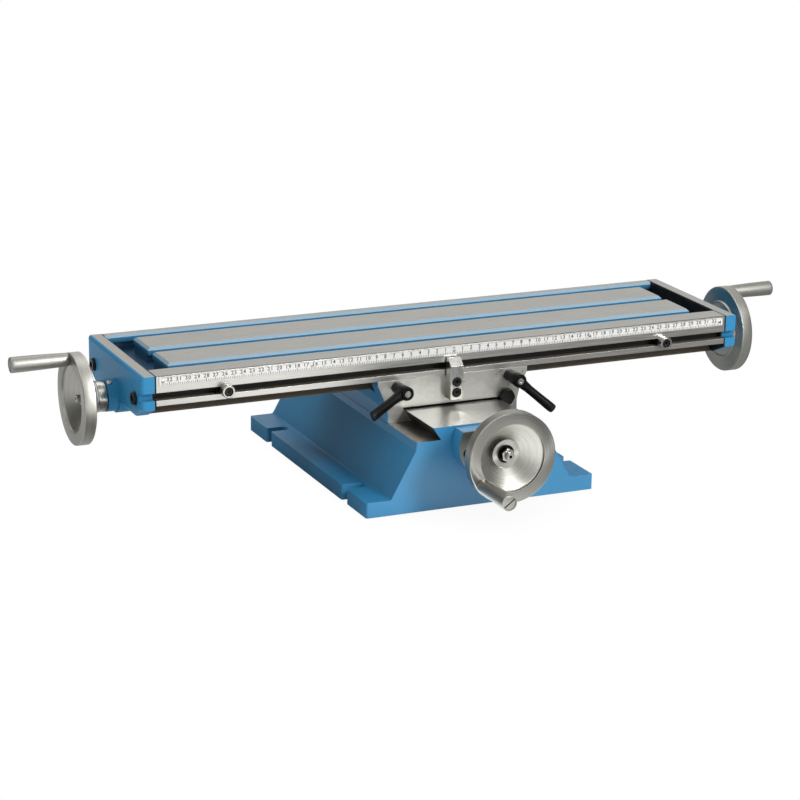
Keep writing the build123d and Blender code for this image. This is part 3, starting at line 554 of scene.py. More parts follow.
def paint_nodes(finish, *nodes):
    """Gives carried-over CAD nodes their material."""
    for node in nodes:
        for holder in NODES[node].material_slots:
            holder.material = material(finish)


def add_piece(name, mesh, finish, node, place=None, sharp=38.0, stands_in=True):
    """Links a finished mesh that rides on the node's body, and hides the node if it stands in for it."""
    mesh.name = name
    mesh.shade_smooth()
    mesh.set_sharp_from_angle(angle=math.radians(sharp))
    mesh.materials.append(material(finish))
    piece = linked(name, mesh)
    if place is not None:
        # The piece's own axes line up with the object's, so that its bounding box is tight
        upright = abs(place[2][2]) > 0.5
        square = axis_frame(place.translation, place.col[2].to_3d(), (1, 0, 0) if upright else (0, 0, 1))
        mesh.transform(square.inverted() @ place)
        piece.matrix_world = square
    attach(piece, BODY_OF[node])
    if stands_in:
        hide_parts(node)


def axis_frame(origin, outward, across):
    """Matrix of a frame with Z outwards and X as near to across as it can be."""
    z = Vector(outward).normalized()
    x = Vector(across)
    x = (x - z * x.dot(z)).normalized()
    y = z.cross(x)
    rows = Matrix((x, y, z)).transposed().to_4x4()
    return Matrix.Translation(Vector(origin)) @ rows


def rounded(corners, steps=4):
    """Points of an outline of (radius, height, corner radius) triples, with arcs at its corners."""
    points = []
    count = len(corners)
    for i, (r, z, fillet) in enumerate(corners):
        here = Vector((r, z))
        if not fillet or i in (0, count - 1):
            points.append((r, z))
            continue
        back = (Vector(corners[i - 1][:2]) - here).normalized()
        ahead = (Vector(corners[i + 1][:2]) - here).normalized()
        turn = back.angle(ahead)
        reach = fillet / math.tan(turn / 2)
        start, end = here + back * reach, here + ahead * reach
        centre = here + (back + ahead).normalized() * (fillet / math.sin(turn / 2))
        a0 = math.atan2(start.y - centre.y, start.x - centre.x)
        a1 = math.atan2(end.y - centre.y, end.x - centre.x)
        sweep = (a1 - a0 + math.pi) % (2 * math.pi) - math.pi
        for k in range(steps + 1):
            a = a0 + sweep * k / steps
            points.append((centre.x + fillet * math.cos(a), centre.y + fillet * math.sin(a)))
    return points


def hexagon(apothem, angle):
    """Distance from a hexagon's middle to its side at an angle."""
    return apothem / math.cos((angle % (math.pi / 3)) - math.pi / 6)


def crowned(apothem, limit, turn=0.0):
    """Radius of a hexagon whose corners are turned down to a limit, as a function of the angle."""
    return lambda a: min(hexagon(apothem, a - turn), limit)


def knurled(radius, depth, ridges):
    """Radius of a knurled band, as a function of the angle."""
    return lambda a: radius - depth * abs(math.sin(a * ridges / 2))


def skin(bm, rows):
    """Joins closed rows of vertices with faces. A row may also be a single point."""
    for low, high in zip(rows, rows[1:]):
        for k in range(max(len(low), len(high))):
            ring = low[k % len(low)], low[(k + 1) % len(low)], high[(k + 1) % len(high)], high[k % len(high)]
            bm.faces.new(tuple(dict.fromkeys(ring)))


def turned(bm, rings, facets, place=None):
    """Adds a surface of rings about Z: each ring is (radius or a function of the angle, height), in millimetres."""
    rows = []
    for radius, height in rings:
        if not callable(radius) and radius < 1e-6:
            rows.append([bm.verts.new((0, 0, height * MM))])
            continue
        row = []
        for k in range(facets):
            a = 2 * math.pi * k / facets
            r = radius(a) if callable(radius) else radius
            row.append(bm.verts.new((r * MM * math.cos(a), r * MM * math.sin(a), height * MM)))
        rows.append(row)
    skin(bm, rows)
    if place is not None:
        bmesh.ops.transform(bm, matrix=place, verts=[v for row in rows for v in row])


def new_mesh(bm):
    """Mesh made from a bmesh, which is freed."""
    bmesh.ops.recalc_face_normals(bm, faces=bm.faces)
    mesh = bpy.data.meshes.new("piece")
    bm.to_mesh(mesh)
    bm.free()
    return mesh


def turned_mesh(facets, *outlines, place=None):
    """Mesh of one turned surface for each outline of rings."""
    bm = bmesh.new()
    for rings in outlines:
        turned(bm, rings, facets, place)
    return new_mesh(bm)


def islands(node):
    """(low, high) corners of each separate solid of a CAD node."""
    bm = bmesh.new()
    bm.from_mesh(NODES[node].data)
    bmesh.ops.remove_doubles(bm, verts=bm.verts, dist=0.001 * MM)
    left = set(bm.verts)
    boxes = []
    while left:
        stack, group = [left.pop()], []
        while stack:
            vert = stack.pop()
            group.append(vert.co.copy())
            for edge in vert.link_edges:
                other = edge.other_vert(vert)
                if other in left:
                    left.remove(other)
                    stack.append(other)
        low = Vector(min(c[i] for c in group) for i in range(3))
        high = Vector(max(c[i] for c in group) for i in range(3))
        boxes.append((low, high))
    bm.free()
    return sorted(boxes, key=lambda b: tuple(round(v, 5) for v in b[0]))


def frame_at(box, out, level, across):
    """Frame on the middle line of a (low, high) box, at a level along out, with Z outwards and X near across."""
    middle = (box[0] + box[1]) / 2
    return axis_frame(middle + out * (level - middle.dot(out)), out, across)


def levels(box, out):
    """Lowest and highest level of a (low, high) box along out."""
    return sorted(corner.dot(out) for corner in box)


# Sizes that several pieces share, in millimetres
RIM_WIDTH = 13.0
WHEEL_RADIUS = 49.0
HUB_BACK = -21.5
GRIP_LENGTH = 62.0
DIAL_RADIUS = 16.5
DIAL_BACK, DIAL_FRONT = -21.4, -10.6


def wheel_frame(name):
    """Frame of one handwheel: origin on the rim's back plane, Z outwards, X at the grip."""
    out, box = OUTWARD[name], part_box(f"{name}_handwheel")
    towards_grip = sum(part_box(f"{name}_grip"), Vector()) - sum(box, Vector())
    return frame_at(box, out, levels(box, out)[1] - RIM_WIDTH * MM, towards_grip)


def handwheel_mesh():
    """Dished wheel: rim, step, cone, flat hub ring and a recess for the nut."""
    tread = WHEEL_RADIUS - 0.7
    hub = [(6.3, HUB_BACK, 0), (12.0, HUB_BACK, 0.4), (12.0, -10.5, 0), (15.5, -10.5, 0.6), (15.5, -8.5, 1.0)]
    back = [(30.6, -1.56, 0), (30.9, -2.1, 0.1), (31.8, -2.1, 0.1), (33.0, 0.0, 0.4)]
    rim = [(tread, 0.0, 0.3), (WHEEL_RADIUS, 0.7, 0.3), (WHEEL_RADIUS, RIM_WIDTH - 0.7, 0.3), (tread, RIM_WIDTH, 0.3),
           (36.3, RIM_WIDTH, 0.4)]
    dish = [(36.0, 10.0, 0.3), (35.2, 10.0, 0.3), (15.6, -3.2, 0.3), (15.3, -3.5, 0.2)]
    recess = [(9.4, -3.5, 0.3), (9.0, -7.0, 0), (4.2, -7.0, 0)]
    return turned_mesh(detail_sizes().facets, rounded(hub + back + rim + dish + recess))


def grip_mesh():
    """Waisted sleeve, a little thicker towards its free end."""
    start, length, steps = RIM_WIDTH + 0.1, GRIP_LENGTH, 24
    rings = [(4.1, start), (6.3, start), (6.75, start + 0.15), (7.0, start + 0.6)]
    for k in range(1, steps):
        t = k / steps
        swell = 1.4 * (1 - (1 - t) ** 1.9)
        rings.append((7.0 + swell, start + 0.6 + t * (length - 1.6)))
    rings += [(8.4, start + length - 1.0), (8.25, start + length - 0.4), (7.85, start + length - 0.06),
              (7.5, start + length), (7.05, start + length), (7.0, start + length - 3.3), (4.1, start + length - 3.3)]
    return turned_mesh(detail_sizes().facets // 2, rings)


def pin_mesh():
    """Slotted head of the pin that the grip turns on, with its shank."""
    top = RIM_WIDTH + GRIP_LENGTH - 0.2
    seat = top - 2.9
    outline = [(0, 3.0, 0), (4.0, 3.0, 0), (4.0, seat, 0), (6.8, seat, 0), (6.8, top, 0.4), (0, top, 0)]
    return cut_slot(turned_mesh(detail_sizes().facets // 2, rounded(outline)), 1.3, 1.2, top, 16.0)


def cut_slot(mesh, width, depth, top, length):
    """Cuts a screwdriver slot across the top of a turned head, all in millimetres."""
    cutter = bmesh.new()
    bmesh.ops.create_cube(cutter, size=1.0)
    scale = Matrix.Diagonal((length * MM, width * MM, 2 * depth * MM, 1))
    bmesh.ops.transform(cutter, matrix=Matrix.Translation((0, 0, top * MM)) @ scale, verts=cutter.verts)
    body, tool = linked("body", mesh), linked("tool", new_mesh(cutter))
    modifier = body.modifiers.new("cut", "BOOLEAN")
    modifier.object = tool
    modifier.operation = "DIFFERENCE"
    modifier.solver = "EXACT"
    result = evaluated_mesh(body)
    bpy.data.objects.remove(tool)
    return result


def evaluated_mesh(shape):
    """Mesh of an object as its modifiers leave it. The object itself is removed."""
    graph = bpy.context.evaluated_depsgraph_get()
    result = bpy.data.meshes.new_from_object(shape.evaluated_get(graph))
    bpy.data.objects.remove(shape)
    return result


def hub_nut_mesh():
    """Washer and chamfered hexagon nut, with the shaft's threaded end left to its own piece."""
    washer = rounded([(4.15, -7.0, 0), (8.4, -7.0, 0.15), (8.4, -5.5, 0.25), (4.15, -5.5, 0)])
    limits = ((7.0, -5.5), (7.51, -5.1), (7.51, 2.3), (7.1, 2.7), (6.6, 2.93))
    sides = [(crowned(6.5, limit), z) for limit, z in limits]
    nut = [(4.15, -5.5), (6.0, -5.5), *sides, (6.2, 3.0), (4.7, 3.0), (4.15, 2.6), (4.15, -5.5)]
    return turned_mesh(detail_sizes().facets, washer, nut)


def dial_ring_mesh():
    """Ring with a graduated band and a knurled band beside it."""
    back, front = DIAL_BACK, DIAL_FRONT
    bore, band, knurl = 12.1, DIAL_RADIUS, knurled(15.55, 0.22, 80)
    rings = rounded([(bore, back, 0), (band, back, 0.3), (band, front - 2.4, 0.2), (15.5, front - 1.9, 0)])
    rings += [(knurl, front - 1.6), (knurl, front - 0.3), (15.2, front), (bore, front), (bore, back)]
    return turned_mesh(2 * detail_sizes().facets, rings)


def add_block(bm, low, high):
    """Adds a box between two corners to a mesh."""
    made = bmesh.ops.create_cube(bm, size=1.0)
    size = Vector(high) - Vector(low)
    middle = (Vector(high) + Vector(low)) / 2
    bmesh.ops.transform(bm, matrix=Matrix.Translation(middle) @ Matrix.Diagonal((*size, 1)), verts=made["verts"])
    return made["verts"]


@cache
def digit_mesh(digit):
    """Mesh of a digit at a font size of one, centred on its middle."""
    curve = bpy.data.curves.new("digit", "FONT")
    curve.body = digit
    curve.align_x = "CENTER"
    curve.extrude = 0.02
    curve.offset = 0.018
    curve.resolution_u = 3
    return evaluated_mesh(linked("digit", curve))


# Height and spacing of digits, and their thickness, for a font size of one
DIGIT_CAP, DIGIT_PITCH, DIGIT_RELIEF = 0.70, 0.62, 0.0015


def add_number(bm, number, place, height):
    """Adds a number to a mesh, in the XY plane of a placing matrix, centred on its origin."""
    digits = str(number)
    size = height / DIGIT_CAP
    for i, digit in enumerate(digits):
        shift = (i - (len(digits) - 1) / 2) * DIGIT_PITCH * size
        before = set(bm.verts)
        bm.from_mesh(digit_mesh(digit))
        new = [v for v in bm.verts if v not in before]
        local = Matrix.Translation((shift, -height / 2, 0)) @ Matrix.Diagonal((size, size, DIGIT_RELIEF, 1))
        bmesh.ops.transform(bm, matrix=place @ local, verts=new)


def dial_marks_mesh():
    """Graduations and plain numbers round the dial's band."""
    sizes = detail_sizes()
    radius, back = DIAL_RADIUS * MM, DIAL_BACK * MM
    bm = bmesh.new()
    for k in range(sizes.dial_divisions):
        a = 2 * math.pi * k / sizes.dial_divisions
        length = 3.6 if k % 10 == 0 else 2.8 if k % 5 == 0 else 2.0
        made = add_block(bm, (radius - 0.1 * MM, -0.11 * MM, back + 0.4 * MM),
                         (radius + sizes.ink_height, 0.11 * MM, back + (0.4 + length) * MM))
        bmesh.ops.rotate(bm, verts=made, cent=(0, 0, 0), matrix=Matrix.Rotation(a, 3, "Z"))
        if k % 10 == 0:
            spot = axis_frame((radius, 0, back + 6.0 * MM), (1, 0, 0), (0, 1, 0))
            add_number(bm, k, Matrix.Rotation(a, 4, "Z") @ spot, 2.2 * MM)
    return new_mesh(bm)


def socket_screw_rings(size, length, socket_depth):
    """Rings of a socket head cap screw, from the end of its shank up to the socket's floor."""
    head = 0.85 * size
    knurl, socket = knurled(head - 0.12, 0.10, 48), partial(hexagon, 0.4 * size)
    return [
        (0, -length), (size / 2 - 0.4, -length), (size / 2, -length + 0.5), (size / 2, 0), (head - 0.15, 0),
        (head, 0.15), (knurl, 0.35), (knurl, size * 0.80), (head - 0.05, size * 0.86), (head - 0.5, size),
        (0.47 * size + 0.25, size), (socket, size - 0.2), (socket, size - socket_depth),
        (0, size - socket_depth - 0.3),
    ]


def socket_screws(node, out, size, name):
    """One piece with all the cap screws of a CAD node."""
    bm = bmesh.new()
    for box in islands(node):
        end, top = levels(box, out)
        place = frame_at(box, out, top - size * MM, (0.2, 0.3, 1) if out.z == 0 else (1, 0.2, 0))
        turned(bm, socket_screw_rings(size, (top - end) / MM - size, 0.5 * size), 96, place)
    add_piece(name, new_mesh(bm), "oxide", node)


def lead_screw_mesh(low, high, start, end, tails):
    """Shaft along Z from low to high, threaded from start to end, with a nut's tail where tails says so, in mm."""
    sizes = detail_sizes()
    root, lead = 6.0, sizes.thread_lead / MM
    crest = root + sizes.thread_depth / MM
    plain_end = [(0, 0), (root - 0.5, 0), (root, 0.5)]
    centre_hole = [(0, 2.5), (1.6, 2.5), (1.6, 0)]
    tail_end = centre_hole + [(3.2, 0), (4.0, 0.8), (4.0, 15.0), (root - 0.3, 15.0), (root, 15.3)]
    back, front = (tail_end if tail else plain_end for tail in tails)
    bm = bmesh.new()
    turned(bm, [(r, low + z) for r, z in back] + [(r, high - z) for r, z in front[::-1]], 64)

    # The thread rises from the shaft over its first steps and sinks into it over the last ones
    facets, rise = 32, 8
    steps = int(((end - start) / lead - 1) * facets)
    rows = []
    for k in range(steps + 1):
        a = 2 * math.pi * k / facets
        full = min(1.0, k / rise, (steps - k) / rise)
        row = []
        for share, height in ((0.12, 0), (0.32, full), (0.68, full), (0.88, 0)):
            r = (root - 0.1 + height * (crest - root + 0.1)) * MM
            z = (start + (k / facets + share) * lead) * MM
            row.append(bm.verts.new((r * math.cos(a), r * math.sin(a), z)))
        rows.append(row)
    for a, b in zip(rows, rows[1:]):
        for i in range(4):
            n = (i + 1) % 4
            bm.faces.new((a[i], b[i], b[n], a[n]))
    return new_mesh(bm)


def lever_mesh():
    """Moulded lever: domed hub with a flat, ridged arm that rises to its tip. Z is the stud's axis, X the arm."""
    foot, top = 5.1, 29.5
    bm = bmesh.new()
    hub = rounded([(4.05, foot, 0), (6.2, foot, 0.3), (7.5, top - 6, 3.0), (7.5, top - 1.6, 1.4), (6.0, top, 0.6),
                   (3.7, top, 0.2), (3.6, top - 2.0, 0), (0, top - 2.0, 0)])
    turned(bm, hub, 72)

    # Sections of the arm: place along it, half its width, and its underside and top from the hub's top
    sections = ((0.0, 6.4, -12.0, -2.0), (9.0, 5.2, -10.6, -2.2), (16.0, 4.5, -8.0, -0.6), (28.0, 4.6, -3.4, 3.6),
                (40.0, 4.9, 1.4, 8.0), (46.4, 4.9, 3.6, 10.6), (48.0, 4.3, 4.7, 10.4))
    rows = []
    for x, half, low, high in sections:
        low, high = top + low, top + high
        ridge = 0.28 * half
        edge = (high - low) * 0.34
        outline = [(-half, low + 0.8), (-half + 0.8, low), (half - 0.8, low), (half, low + 0.8), (half, high - edge),
                   (half - 0.7, high - edge * 0.62), (ridge + 0.5, high - 0.25), (ridge, high), (-ridge, high),
                   (-ridge - 0.5, high - 0.25), (-half + 0.7, high - edge * 0.62), (-half, high - edge)]
        rows.append([bm.verts.new((x * MM, y * MM, z * MM)) for y, z in outline])
    skin(bm, rows)
    bm.faces.new(rows[0])
    bm.faces.new(rows[-1][::-1])
    return new_mesh(bm)


class SLIDETABLE_OT_castings(bpy.types.Operator):
    """Finish the base, bracket, saddle, table and end plates"""

    bl_idname = "slidetable.castings"
    bl_label = "Castings"

    def execute(self, context):
        paint_nodes("base", "base_casting")
        paint_nodes("bracket", "cross_bracket")
        paint_nodes("saddle", "saddle_casting")
        paint_nodes("table", "table_casting")
        paint_nodes("plate", "left_end_plate", "right_end_plate")
        paint_nodes("bright", "nose_oilers")
        return {"FINISHED"}


class SLIDETABLE_OT_slide_fittings(bpy.types.Operator):
    """Finish the gibs, the screw nuts and the stop block"""

    bl_idname = "slidetable.slide_fittings"
    bl_label = "Gibs, nuts and block"

    def execute(self, context):
        paint_nodes("iron", "long_gib", "cross_gib")
        paint_nodes("bronze", "long_nut", "cross_nut", "cross_bush", "left_bush", "right_bush")
        paint_nodes("block", "stop_block")
        paint_nodes("rod", "long_thrust_washers", "cross_thrust_washers")
        paint_nodes("bright", *(f"{name}_wheel_key" for name in WHEELS))
        return {"FINISHED"}


class SLIDETABLE_OT_handwheels(bpy.types.Operator):
    """Build the three dished handwheels with their hub nuts"""

    bl_idname = "slidetable.handwheels"
    bl_label = "Handwheels"

    def execute(self, context):
        for name in WHEELS:
            place = wheel_frame(name)
            add_piece(f"{name}_wheel_turned", handwheel_mesh(), "wheel", f"{name}_handwheel", place, 25)
            add_piece(f"{name}_hub_nut_hex", hub_nut_mesh(), "nut", f"{name}_hub_nut", place, 25)
        return {"FINISHED"}


class SLIDETABLE_OT_grips(bpy.types.Operator):
    """Build the revolving grips and their slotted pins"""

    bl_idname = "slidetable.grips"
    bl_label = "Grips"

    def execute(self, context):
        for name in WHEELS:
            wheel, out = wheel_frame(name), OUTWARD[name]
            level = wheel.translation.dot(out)
            place = frame_at(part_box(f"{name}_grip"), out, level, wheel.col[0].to_3d())
            add_piece(f"{name}_grip_sleeve", grip_mesh(), "grip", f"{name}_grip", place)
            add_piece(f"{name}_slotted_pin", pin_mesh(), "pin", f"{name}_grip_pin", place, 30)
        return {"FINISHED"}


class SLIDETABLE_OT_dials(bpy.types.Operator):
    """Build the graduated dial rings"""

    bl_idname = "slidetable.dials"
    bl_label = "Dials"

    def execute(self, context):
        for name in WHEELS:
            place = wheel_frame(name)
            add_piece(f"{name}_dial_ring", dial_ring_mesh(), "dial", f"{name}_dial", place, 30)
            add_piece(f"{name}_dial_marks", dial_marks_mesh(), "ink", f"{name}_dial", place, stands_in=False)
        return {"FINISHED"}


class SLIDETABLE_OT_lead_screws(bpy.types.Operator):
    """Build the threads of the two lead screws over their shafts"""

    bl_idname = "slidetable.lead_screws"
    bl_label = "Lead screws"

    def execute(self, context):
        shoulder = 1.6 * MM
        # Axis, start and end of the thread along it, and which ends carry a nut
        spans = {"long": (OUTWARD["right"], TABLE_LOW.x + shoulder, TABLE_HIGH.x - shoulder, (True, True)),
                 "cross": (FRONT, None, -BASE_LOW.y - shoulder, (False, True))}
        for name, (out, start, end, tails) in spans.items():
            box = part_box(f"{name}_lead_screw")
            back, front = levels(box, out)
            start = back if start is None else start
            mesh = lead_screw_mesh(*(v / MM for v in (back, front, start, end)), tails)
            place = frame_at(box, out, 0, (0, 0, 1))
            add_piece(f"{name}_threaded_shaft", mesh, "rod", f"{name}_lead_screw", place, 30)
        return {"FINISHED"}


class SLIDETABLE_OT_scale(bpy.types.Operator):
    """Build the scale strip with its graduations, numbers and rivets"""

    bl_idname = "slidetable.scale"
    bl_label = "Scale"

    def execute(self, context):
        sizes = detail_sizes()
        face = SCALE_LOW.y - sizes.ink_height
        bm = bmesh.new()
        add_block(bm, SCALE_LOW, SCALE_HIGH)
        bmesh.ops.bevel(bm, geom=bm.edges[:], offset=0.18 * MM, segments=2, affect="EDGES")
        add_piece("scale_face", new_mesh(bm), "scale", "scale_strip")

        bm = bmesh.new()
        foot, sunk = SCALE_LOW.z + 0.35 * MM, SCALE_LOW.y + 0.1 * MM
        count = int((SCALE_HIGH.x - 2 * MM) / sizes.tick_step)
        per_number = round(sizes.number_step / sizes.tick_step)
        for k in range(-count, count + 1):
            x = k * sizes.tick_step
            length, half = (3.4 * MM, 0.30 * MM) if k % per_number == 0 else (2.2 * MM, 0.22 * MM)
            add_block(bm, (x - half, face, foot), (x + half, sunk, foot + length))
        numbers = int((SCALE_HIGH.x - 8 * MM) / sizes.number_step)
        middle = SCALE_HIGH.z - 0.5 * MM - sizes.digit_height / 2
        for k in range(-numbers, numbers + 1):
            spot = axis_frame((k * sizes.number_step, face, middle), FRONT, (1, 0, 0))
            add_number(bm, abs(k), spot, sizes.digit_height)
        add_piece("scale_marks", new_mesh(bm), "ink", "scale_strip", stands_in=False)

        bm = bmesh.new()
        for box in islands("scale_rivets"):
            place = frame_at(box, FRONT, levels(box, FRONT)[1] - 0.5 * MM, (1, 0, 0))
            rings = [(0.9, -3.0), (0.9, 0), (1.7, 0), (1.66, 0.18), (1.4, 0.36), (0.9, 0.47), (0, 0.5)]
            turned(bm, rings, 32, place)
        add_piece("rivet_heads", new_mesh(bm), "bright", "scale_rivets")
        return {"FINISHED"}


class SLIDETABLE_OT_screws(bpy.types.Operator):
    """Build the socket head screws and the hexagon bolt"""

    bl_idname = "slidetable.screws"
    bl_label = "Screws"

    def execute(self, context):
        for side in SIDES:
            socket_screws(f"{side}_plate_screws", OUTWARD[side], 8, f"{side}_plate_cap_screws")
            socket_screws(f"{side}_stop_screw", FRONT, 5, f"{side}_stop_cap_screw")
        socket_screws("cross_bracket_screws", FRONT, 6, "bracket_cap_screws")
        socket_screws("stop_block_screws", FRONT, 6, "block_cap_screws")
        socket_screws("long_nut_screws", Vector((0, 0, 1)), 5, "long_nut_cap_screws")
        socket_screws("cross_nut_screws", Vector((0, 0, 1)), 5, "cross_nut_cap_screws")

        place = frame_at(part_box("cross_gib_bolt"), FRONT, -SADDLE_LOW.y, (1, 0, 0))
        limits = ((8.6, 0.4), (9.2, 0.8), (9.2, 5.4), (8.7, 5.9), (8.0, 6.25))
        head = [(crowned(8.0, limit, math.radians(-3.0)), z) for limit, z in limits]
        rings = [(0, -20), (4.6, -20), (5, -19.5), (5, 0), (7.4, 0), (7.7, 0.35), *head, (7.4, 6.4), (0, 6.4)]
        add_piece("gib_bolt_hex", turned_mesh(96, rings, place=place), "oxide", "cross_gib_bolt", sharp=25)
        return {"FINISHED"}


class SLIDETABLE_OT_stops(bpy.types.Operator):
    """Build the travel stops' collars, and finish their slot nuts"""

    bl_idname = "slidetable.stops"
    bl_label = "Travel stops"

    def execute(self, context):
        for side in SIDES:
            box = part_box(f"{side}_stop_collar")
            foot, end = levels(box, FRONT)
            place = frame_at(box, FRONT, foot, (1, 0, 0))
            length = (end - foot) / MM
            rings = rounded([(2.6, 0, 0), (7.0, 0, 0.3), (7.0, length, 0.7), (4.75, length, 0.3), (4.65, 3.5, 0),
                             (2.6, 3.5, 0), (2.6, 0, 0)])
            ring = turned_mesh(72, rings, place=place)
            add_piece(f"{side}_stop_ring", ring, "rod", f"{side}_stop_collar", sharp=25)
            paint_nodes("oxide", f"{side}_stop_nut")
        return {"FINISHED"}


class SLIDETABLE_OT_locks(bpy.types.Operator):
    """Build the locking levers and their cap screws, and finish their studs"""

    bl_idname = "slidetable.locks"
    bl_label = "Locking levers"

    ANGLES = {"left": 202.3, "right": 317.6}    # of the levers' arms at rest, from +X towards +Z

    def execute(self, context):
        for side in SIDES:
            angle = math.radians(self.ANGLES[side])
            arm = math.cos(angle), 0, math.sin(angle)
            place = frame_at(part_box(f"{side}_lock_stud"), FRONT, -SADDLE_LOW.y, arm)
            add_piece(f"{side}_lock_lever", lever_mesh(), "plastic", f"{side}_lock_handle", place, 30)
            paint_nodes("oxide", f"{side}_lock_stud")
            socket = partial(hexagon, 1.25)
            rings = [(0, 21.5), (1.5, 21.5), (1.5, 27.5), (3.4, 27.5), (3.4, 29.4), (3.2, 29.65), (1.5, 29.7),
                     (socket, 29.6), (socket, 28.5), (0, 28.3)]
            cap_screw = turned_mesh(48, rings)
            add_piece(f"{side}_lock_cap_screw", cap_screw, "bright", f"{side}_lock_screw", place, 30)
        return {"FINISHED"}


def area_light(name, place, target, size, power):
    """Soft light of a width and a height, aimed at a point."""
    data = bpy.data.lights.new(name, "AREA")
    data.shape = "RECTANGLE"
    data.size, data.size_y = size
    data.energy = power
    lamp = linked(name, data)
    lamp.location = place
    lamp.rotation_euler = (Vector(target) - Vector(place)).to_track_quat("-Z", "Y").to_euler()


# Brightness of the room by the angle up from the front, in degrees: soft boxes with dark gaps
SOFTBOXES = ((-30, 0.8), (0, 0.72), (18, 0.65), (30, 0.4), (41, 0.45), (50, 1.35), (62, 1.35), (70, 0.4), (85, 0.4),
             (105, 0.62), (165, 0.66), (179, 0.8))


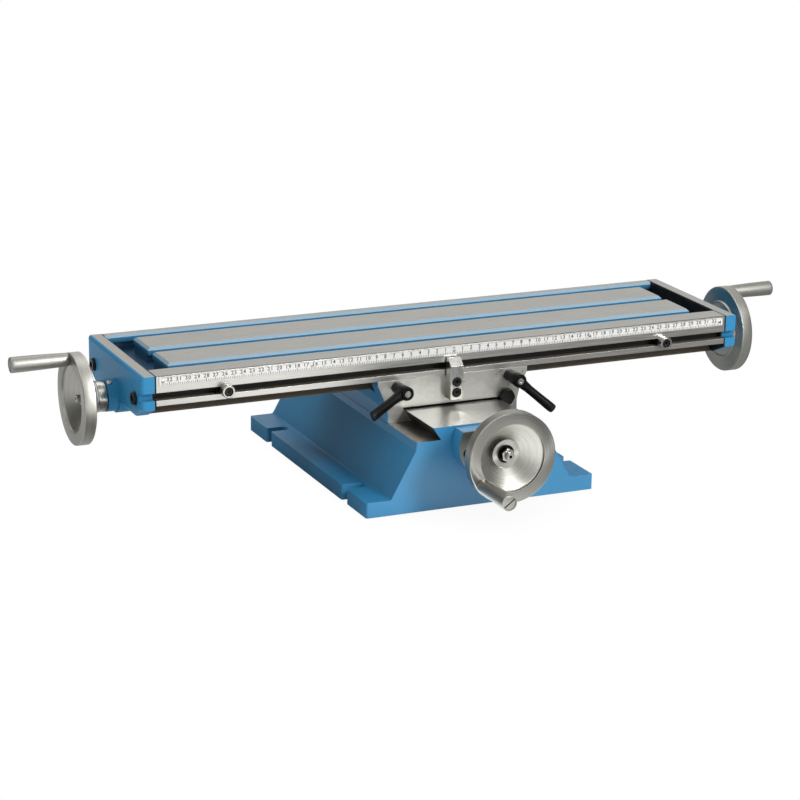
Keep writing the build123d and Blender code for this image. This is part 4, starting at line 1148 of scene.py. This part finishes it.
class SLIDETABLE_OT_stage(bpy.types.Operator):
    """Set up the floor, the camera and the studio light"""

    bl_idname = "slidetable.stage"
    bl_label = "Stage"

    def execute(self, context):
        settings = stage_settings()
        self.add_floor()
        self.add_world(settings)
        self.add_camera(settings)
        centre = (0, 0, 0.1)
        area_light("key_light", (0.95, -2.35, 1.5), centre, (0.7, 0.7), settings.key_power)
        area_light("side_light", (-1.7, 0.3, 1.6), centre, (1.2, 1.2), settings.side_power)
        area_light("top_light", (0.1, 1.0, 2.1), centre, (2.4, 1.4), settings.top_power)
        context.scene.view_settings.view_transform = "Standard"
        return {"FINISHED"}

    def add_floor(self):
        bm = bmesh.new()
        bmesh.ops.create_grid(bm, x_segments=2, y_segments=2, size=6.0)
        mesh = new_mesh(bm)
        floor = linked("floor", mesh)
        g = Finish("pale_floor")
        g.set(base_color=(0.8, 0.8, 0.8), roughness=0.7)
        ray = g.add("LightPath").outputs
        # The camera sees the floor glowing white, darkened by a painted contact shadow from ambient occlusion
        shadow = g.add("AmbientOcclusion", {"Distance": 0.10}).outputs["AO"]
        floor_glow_with_shadow = g.span(shadow, 0.2, 0.8, 0.93, 1.0)

        # Metal mirrors a floor that glows as a painted reflection: bright at the left, dark behind the table and
        # bright again far behind
        behind = g.dot(g.place, (-1.5, 1.0, 0.0))
        mirrored = g.times(
            floor_glow_with_shadow,
            g.span(g.x, -0.1, 0.22, 2.1, 0.35, "SMOOTHSTEP"),
            g.span(behind, -0.2, 0.1, 1.0, 0.05, "SMOOTHSTEP"),
            g.span(behind, 0.4, 0.65, 1.0, 7.0, "SMOOTHSTEP"),
        )
        glow = g.add("Emission", {"Strength": g.blend(ray["Is Camera Ray"], mirrored, floor_glow_with_shadow)})
        g.show(g.either(ray["Is Camera Ray"], ray["Is Glossy Ray"]), g.shader, glow, "Material Output")
        mesh.materials.append(g.material)

    def add_world(self, settings):
        world = bpy.data.worlds.new("studio")
        bpy.context.scene.world = world
        g = Nodes(world)
        way = g.add("TexCoord").outputs["Generated"]
        _, depth, height = g.axes(way)
        climb = g.math("ARCTAN2", height, g.times(depth, -1.0))
        boxes = g.add("ValToRGB", {"Fac": g.span(climb, -math.pi, math.pi)})
        bands = boxes.color_ramp.elements
        for angle, value in SOFTBOXES:
            bands.new((angle + 180) / 360).color = (value, value, value, 1)
        bands.remove(bands[0])
        bands.remove(bands[-1])

        # The room is dark at the left, and for mirrors also at the far right
        left = g.span(g.dot(way, (0.8, -0.5, 0.0)), -0.7, -0.2, settings.dark_side, 1.0)
        right = g.span(g.dot(way, (1.0, -0.35, 0.0)), 0.66, 0.90, 1.0, 0.35)
        ray = g.add("LightPath").outputs
        matt = g.times(g.math("SQRT", left), settings.soft_share)
        share = g.blend(ray["Is Glossy Ray"], matt, g.times(left, right))
        room = g.tree.nodes["Background"]
        g.join((1.0, 1.0, 0.985), room.inputs["Color"])
        g.join(g.times(boxes.outputs["Color"], share, settings.sky), room.inputs["Strength"])
        g.show(ray["Is Camera Ray"], room, g.add("Background"), "World Output")

    def add_camera(self, settings):
        data = bpy.data.cameras.new("camera")
        data.lens = settings.lens
        data.sensor_width = 36.0
        data.clip_end = 20.0
        camera = linked("camera", data)
        turn, tip, roll = settings.camera_azimuth, settings.camera_elevation, settings.camera_roll
        back = Vector((math.sin(turn) * math.cos(tip), -math.cos(turn) * math.cos(tip), math.sin(tip)))
        right = Vector((0, 0, 1)).cross(back).normalized()
        up = back.cross(right)
        across = right * math.cos(roll) + up * math.sin(roll)
        camera.matrix_world = axis_frame(settings.camera_place, back, across)
        bpy.context.scene.camera = camera


OPERATORS = (
    SLIDETABLE_OT_castings,
    SLIDETABLE_OT_slide_fittings,
    SLIDETABLE_OT_lead_screws,
    SLIDETABLE_OT_handwheels,
    SLIDETABLE_OT_grips,
    SLIDETABLE_OT_dials,
    SLIDETABLE_OT_scale,
    SLIDETABLE_OT_screws,
    SLIDETABLE_OT_stops,
    SLIDETABLE_OT_locks,
    SLIDETABLE_OT_stage,
)


class SLIDETABLE_PT_sidebar(bpy.types.Panel):
    """Lists the steps that dress the slide table"""

    bl_idname = "SLIDETABLE_PT_sidebar"
    bl_label = "Cross slide table"
    bl_space_type = "VIEW_3D"
    bl_region_type = "UI"
    bl_category = "Slide table"

    def draw(self, context):
        column = self.layout.column(align=True)
        for operator in OPERATORS:
            column.operator(operator.bl_idname)
        for group, settings in GROUPS.items():
            box = self.layout.box()
            for name in settings.__annotations__:
                box.prop(getattr(context.scene, group), name)


GROUPS = {
    "slide_table_colours": FinishColours,
    "slide_table_details": DetailSizes,
    "slide_table_stage": StageSettings,
}


def register():
    for name, group in GROUPS.items():
        bpy.utils.register_class(group)
        setattr(bpy.types.Scene, name, PointerProperty(type=group))
    for operator in OPERATORS:
        bpy.utils.register_class(operator)
    bpy.utils.register_class(SLIDETABLE_PT_sidebar)


def unregister():
    bpy.utils.unregister_class(SLIDETABLE_PT_sidebar)
    for operator in reversed(OPERATORS):
        bpy.utils.unregister_class(operator)
    for name, group in GROUPS.items():
        delattr(bpy.types.Scene, name)
        bpy.utils.unregister_class(group)


def main():
    register()
    for operator in OPERATORS:
        group, name = operator.bl_idname.split(".")
        getattr(getattr(bpy.ops, group), name)()


if __name__ == "__main__":
    main()
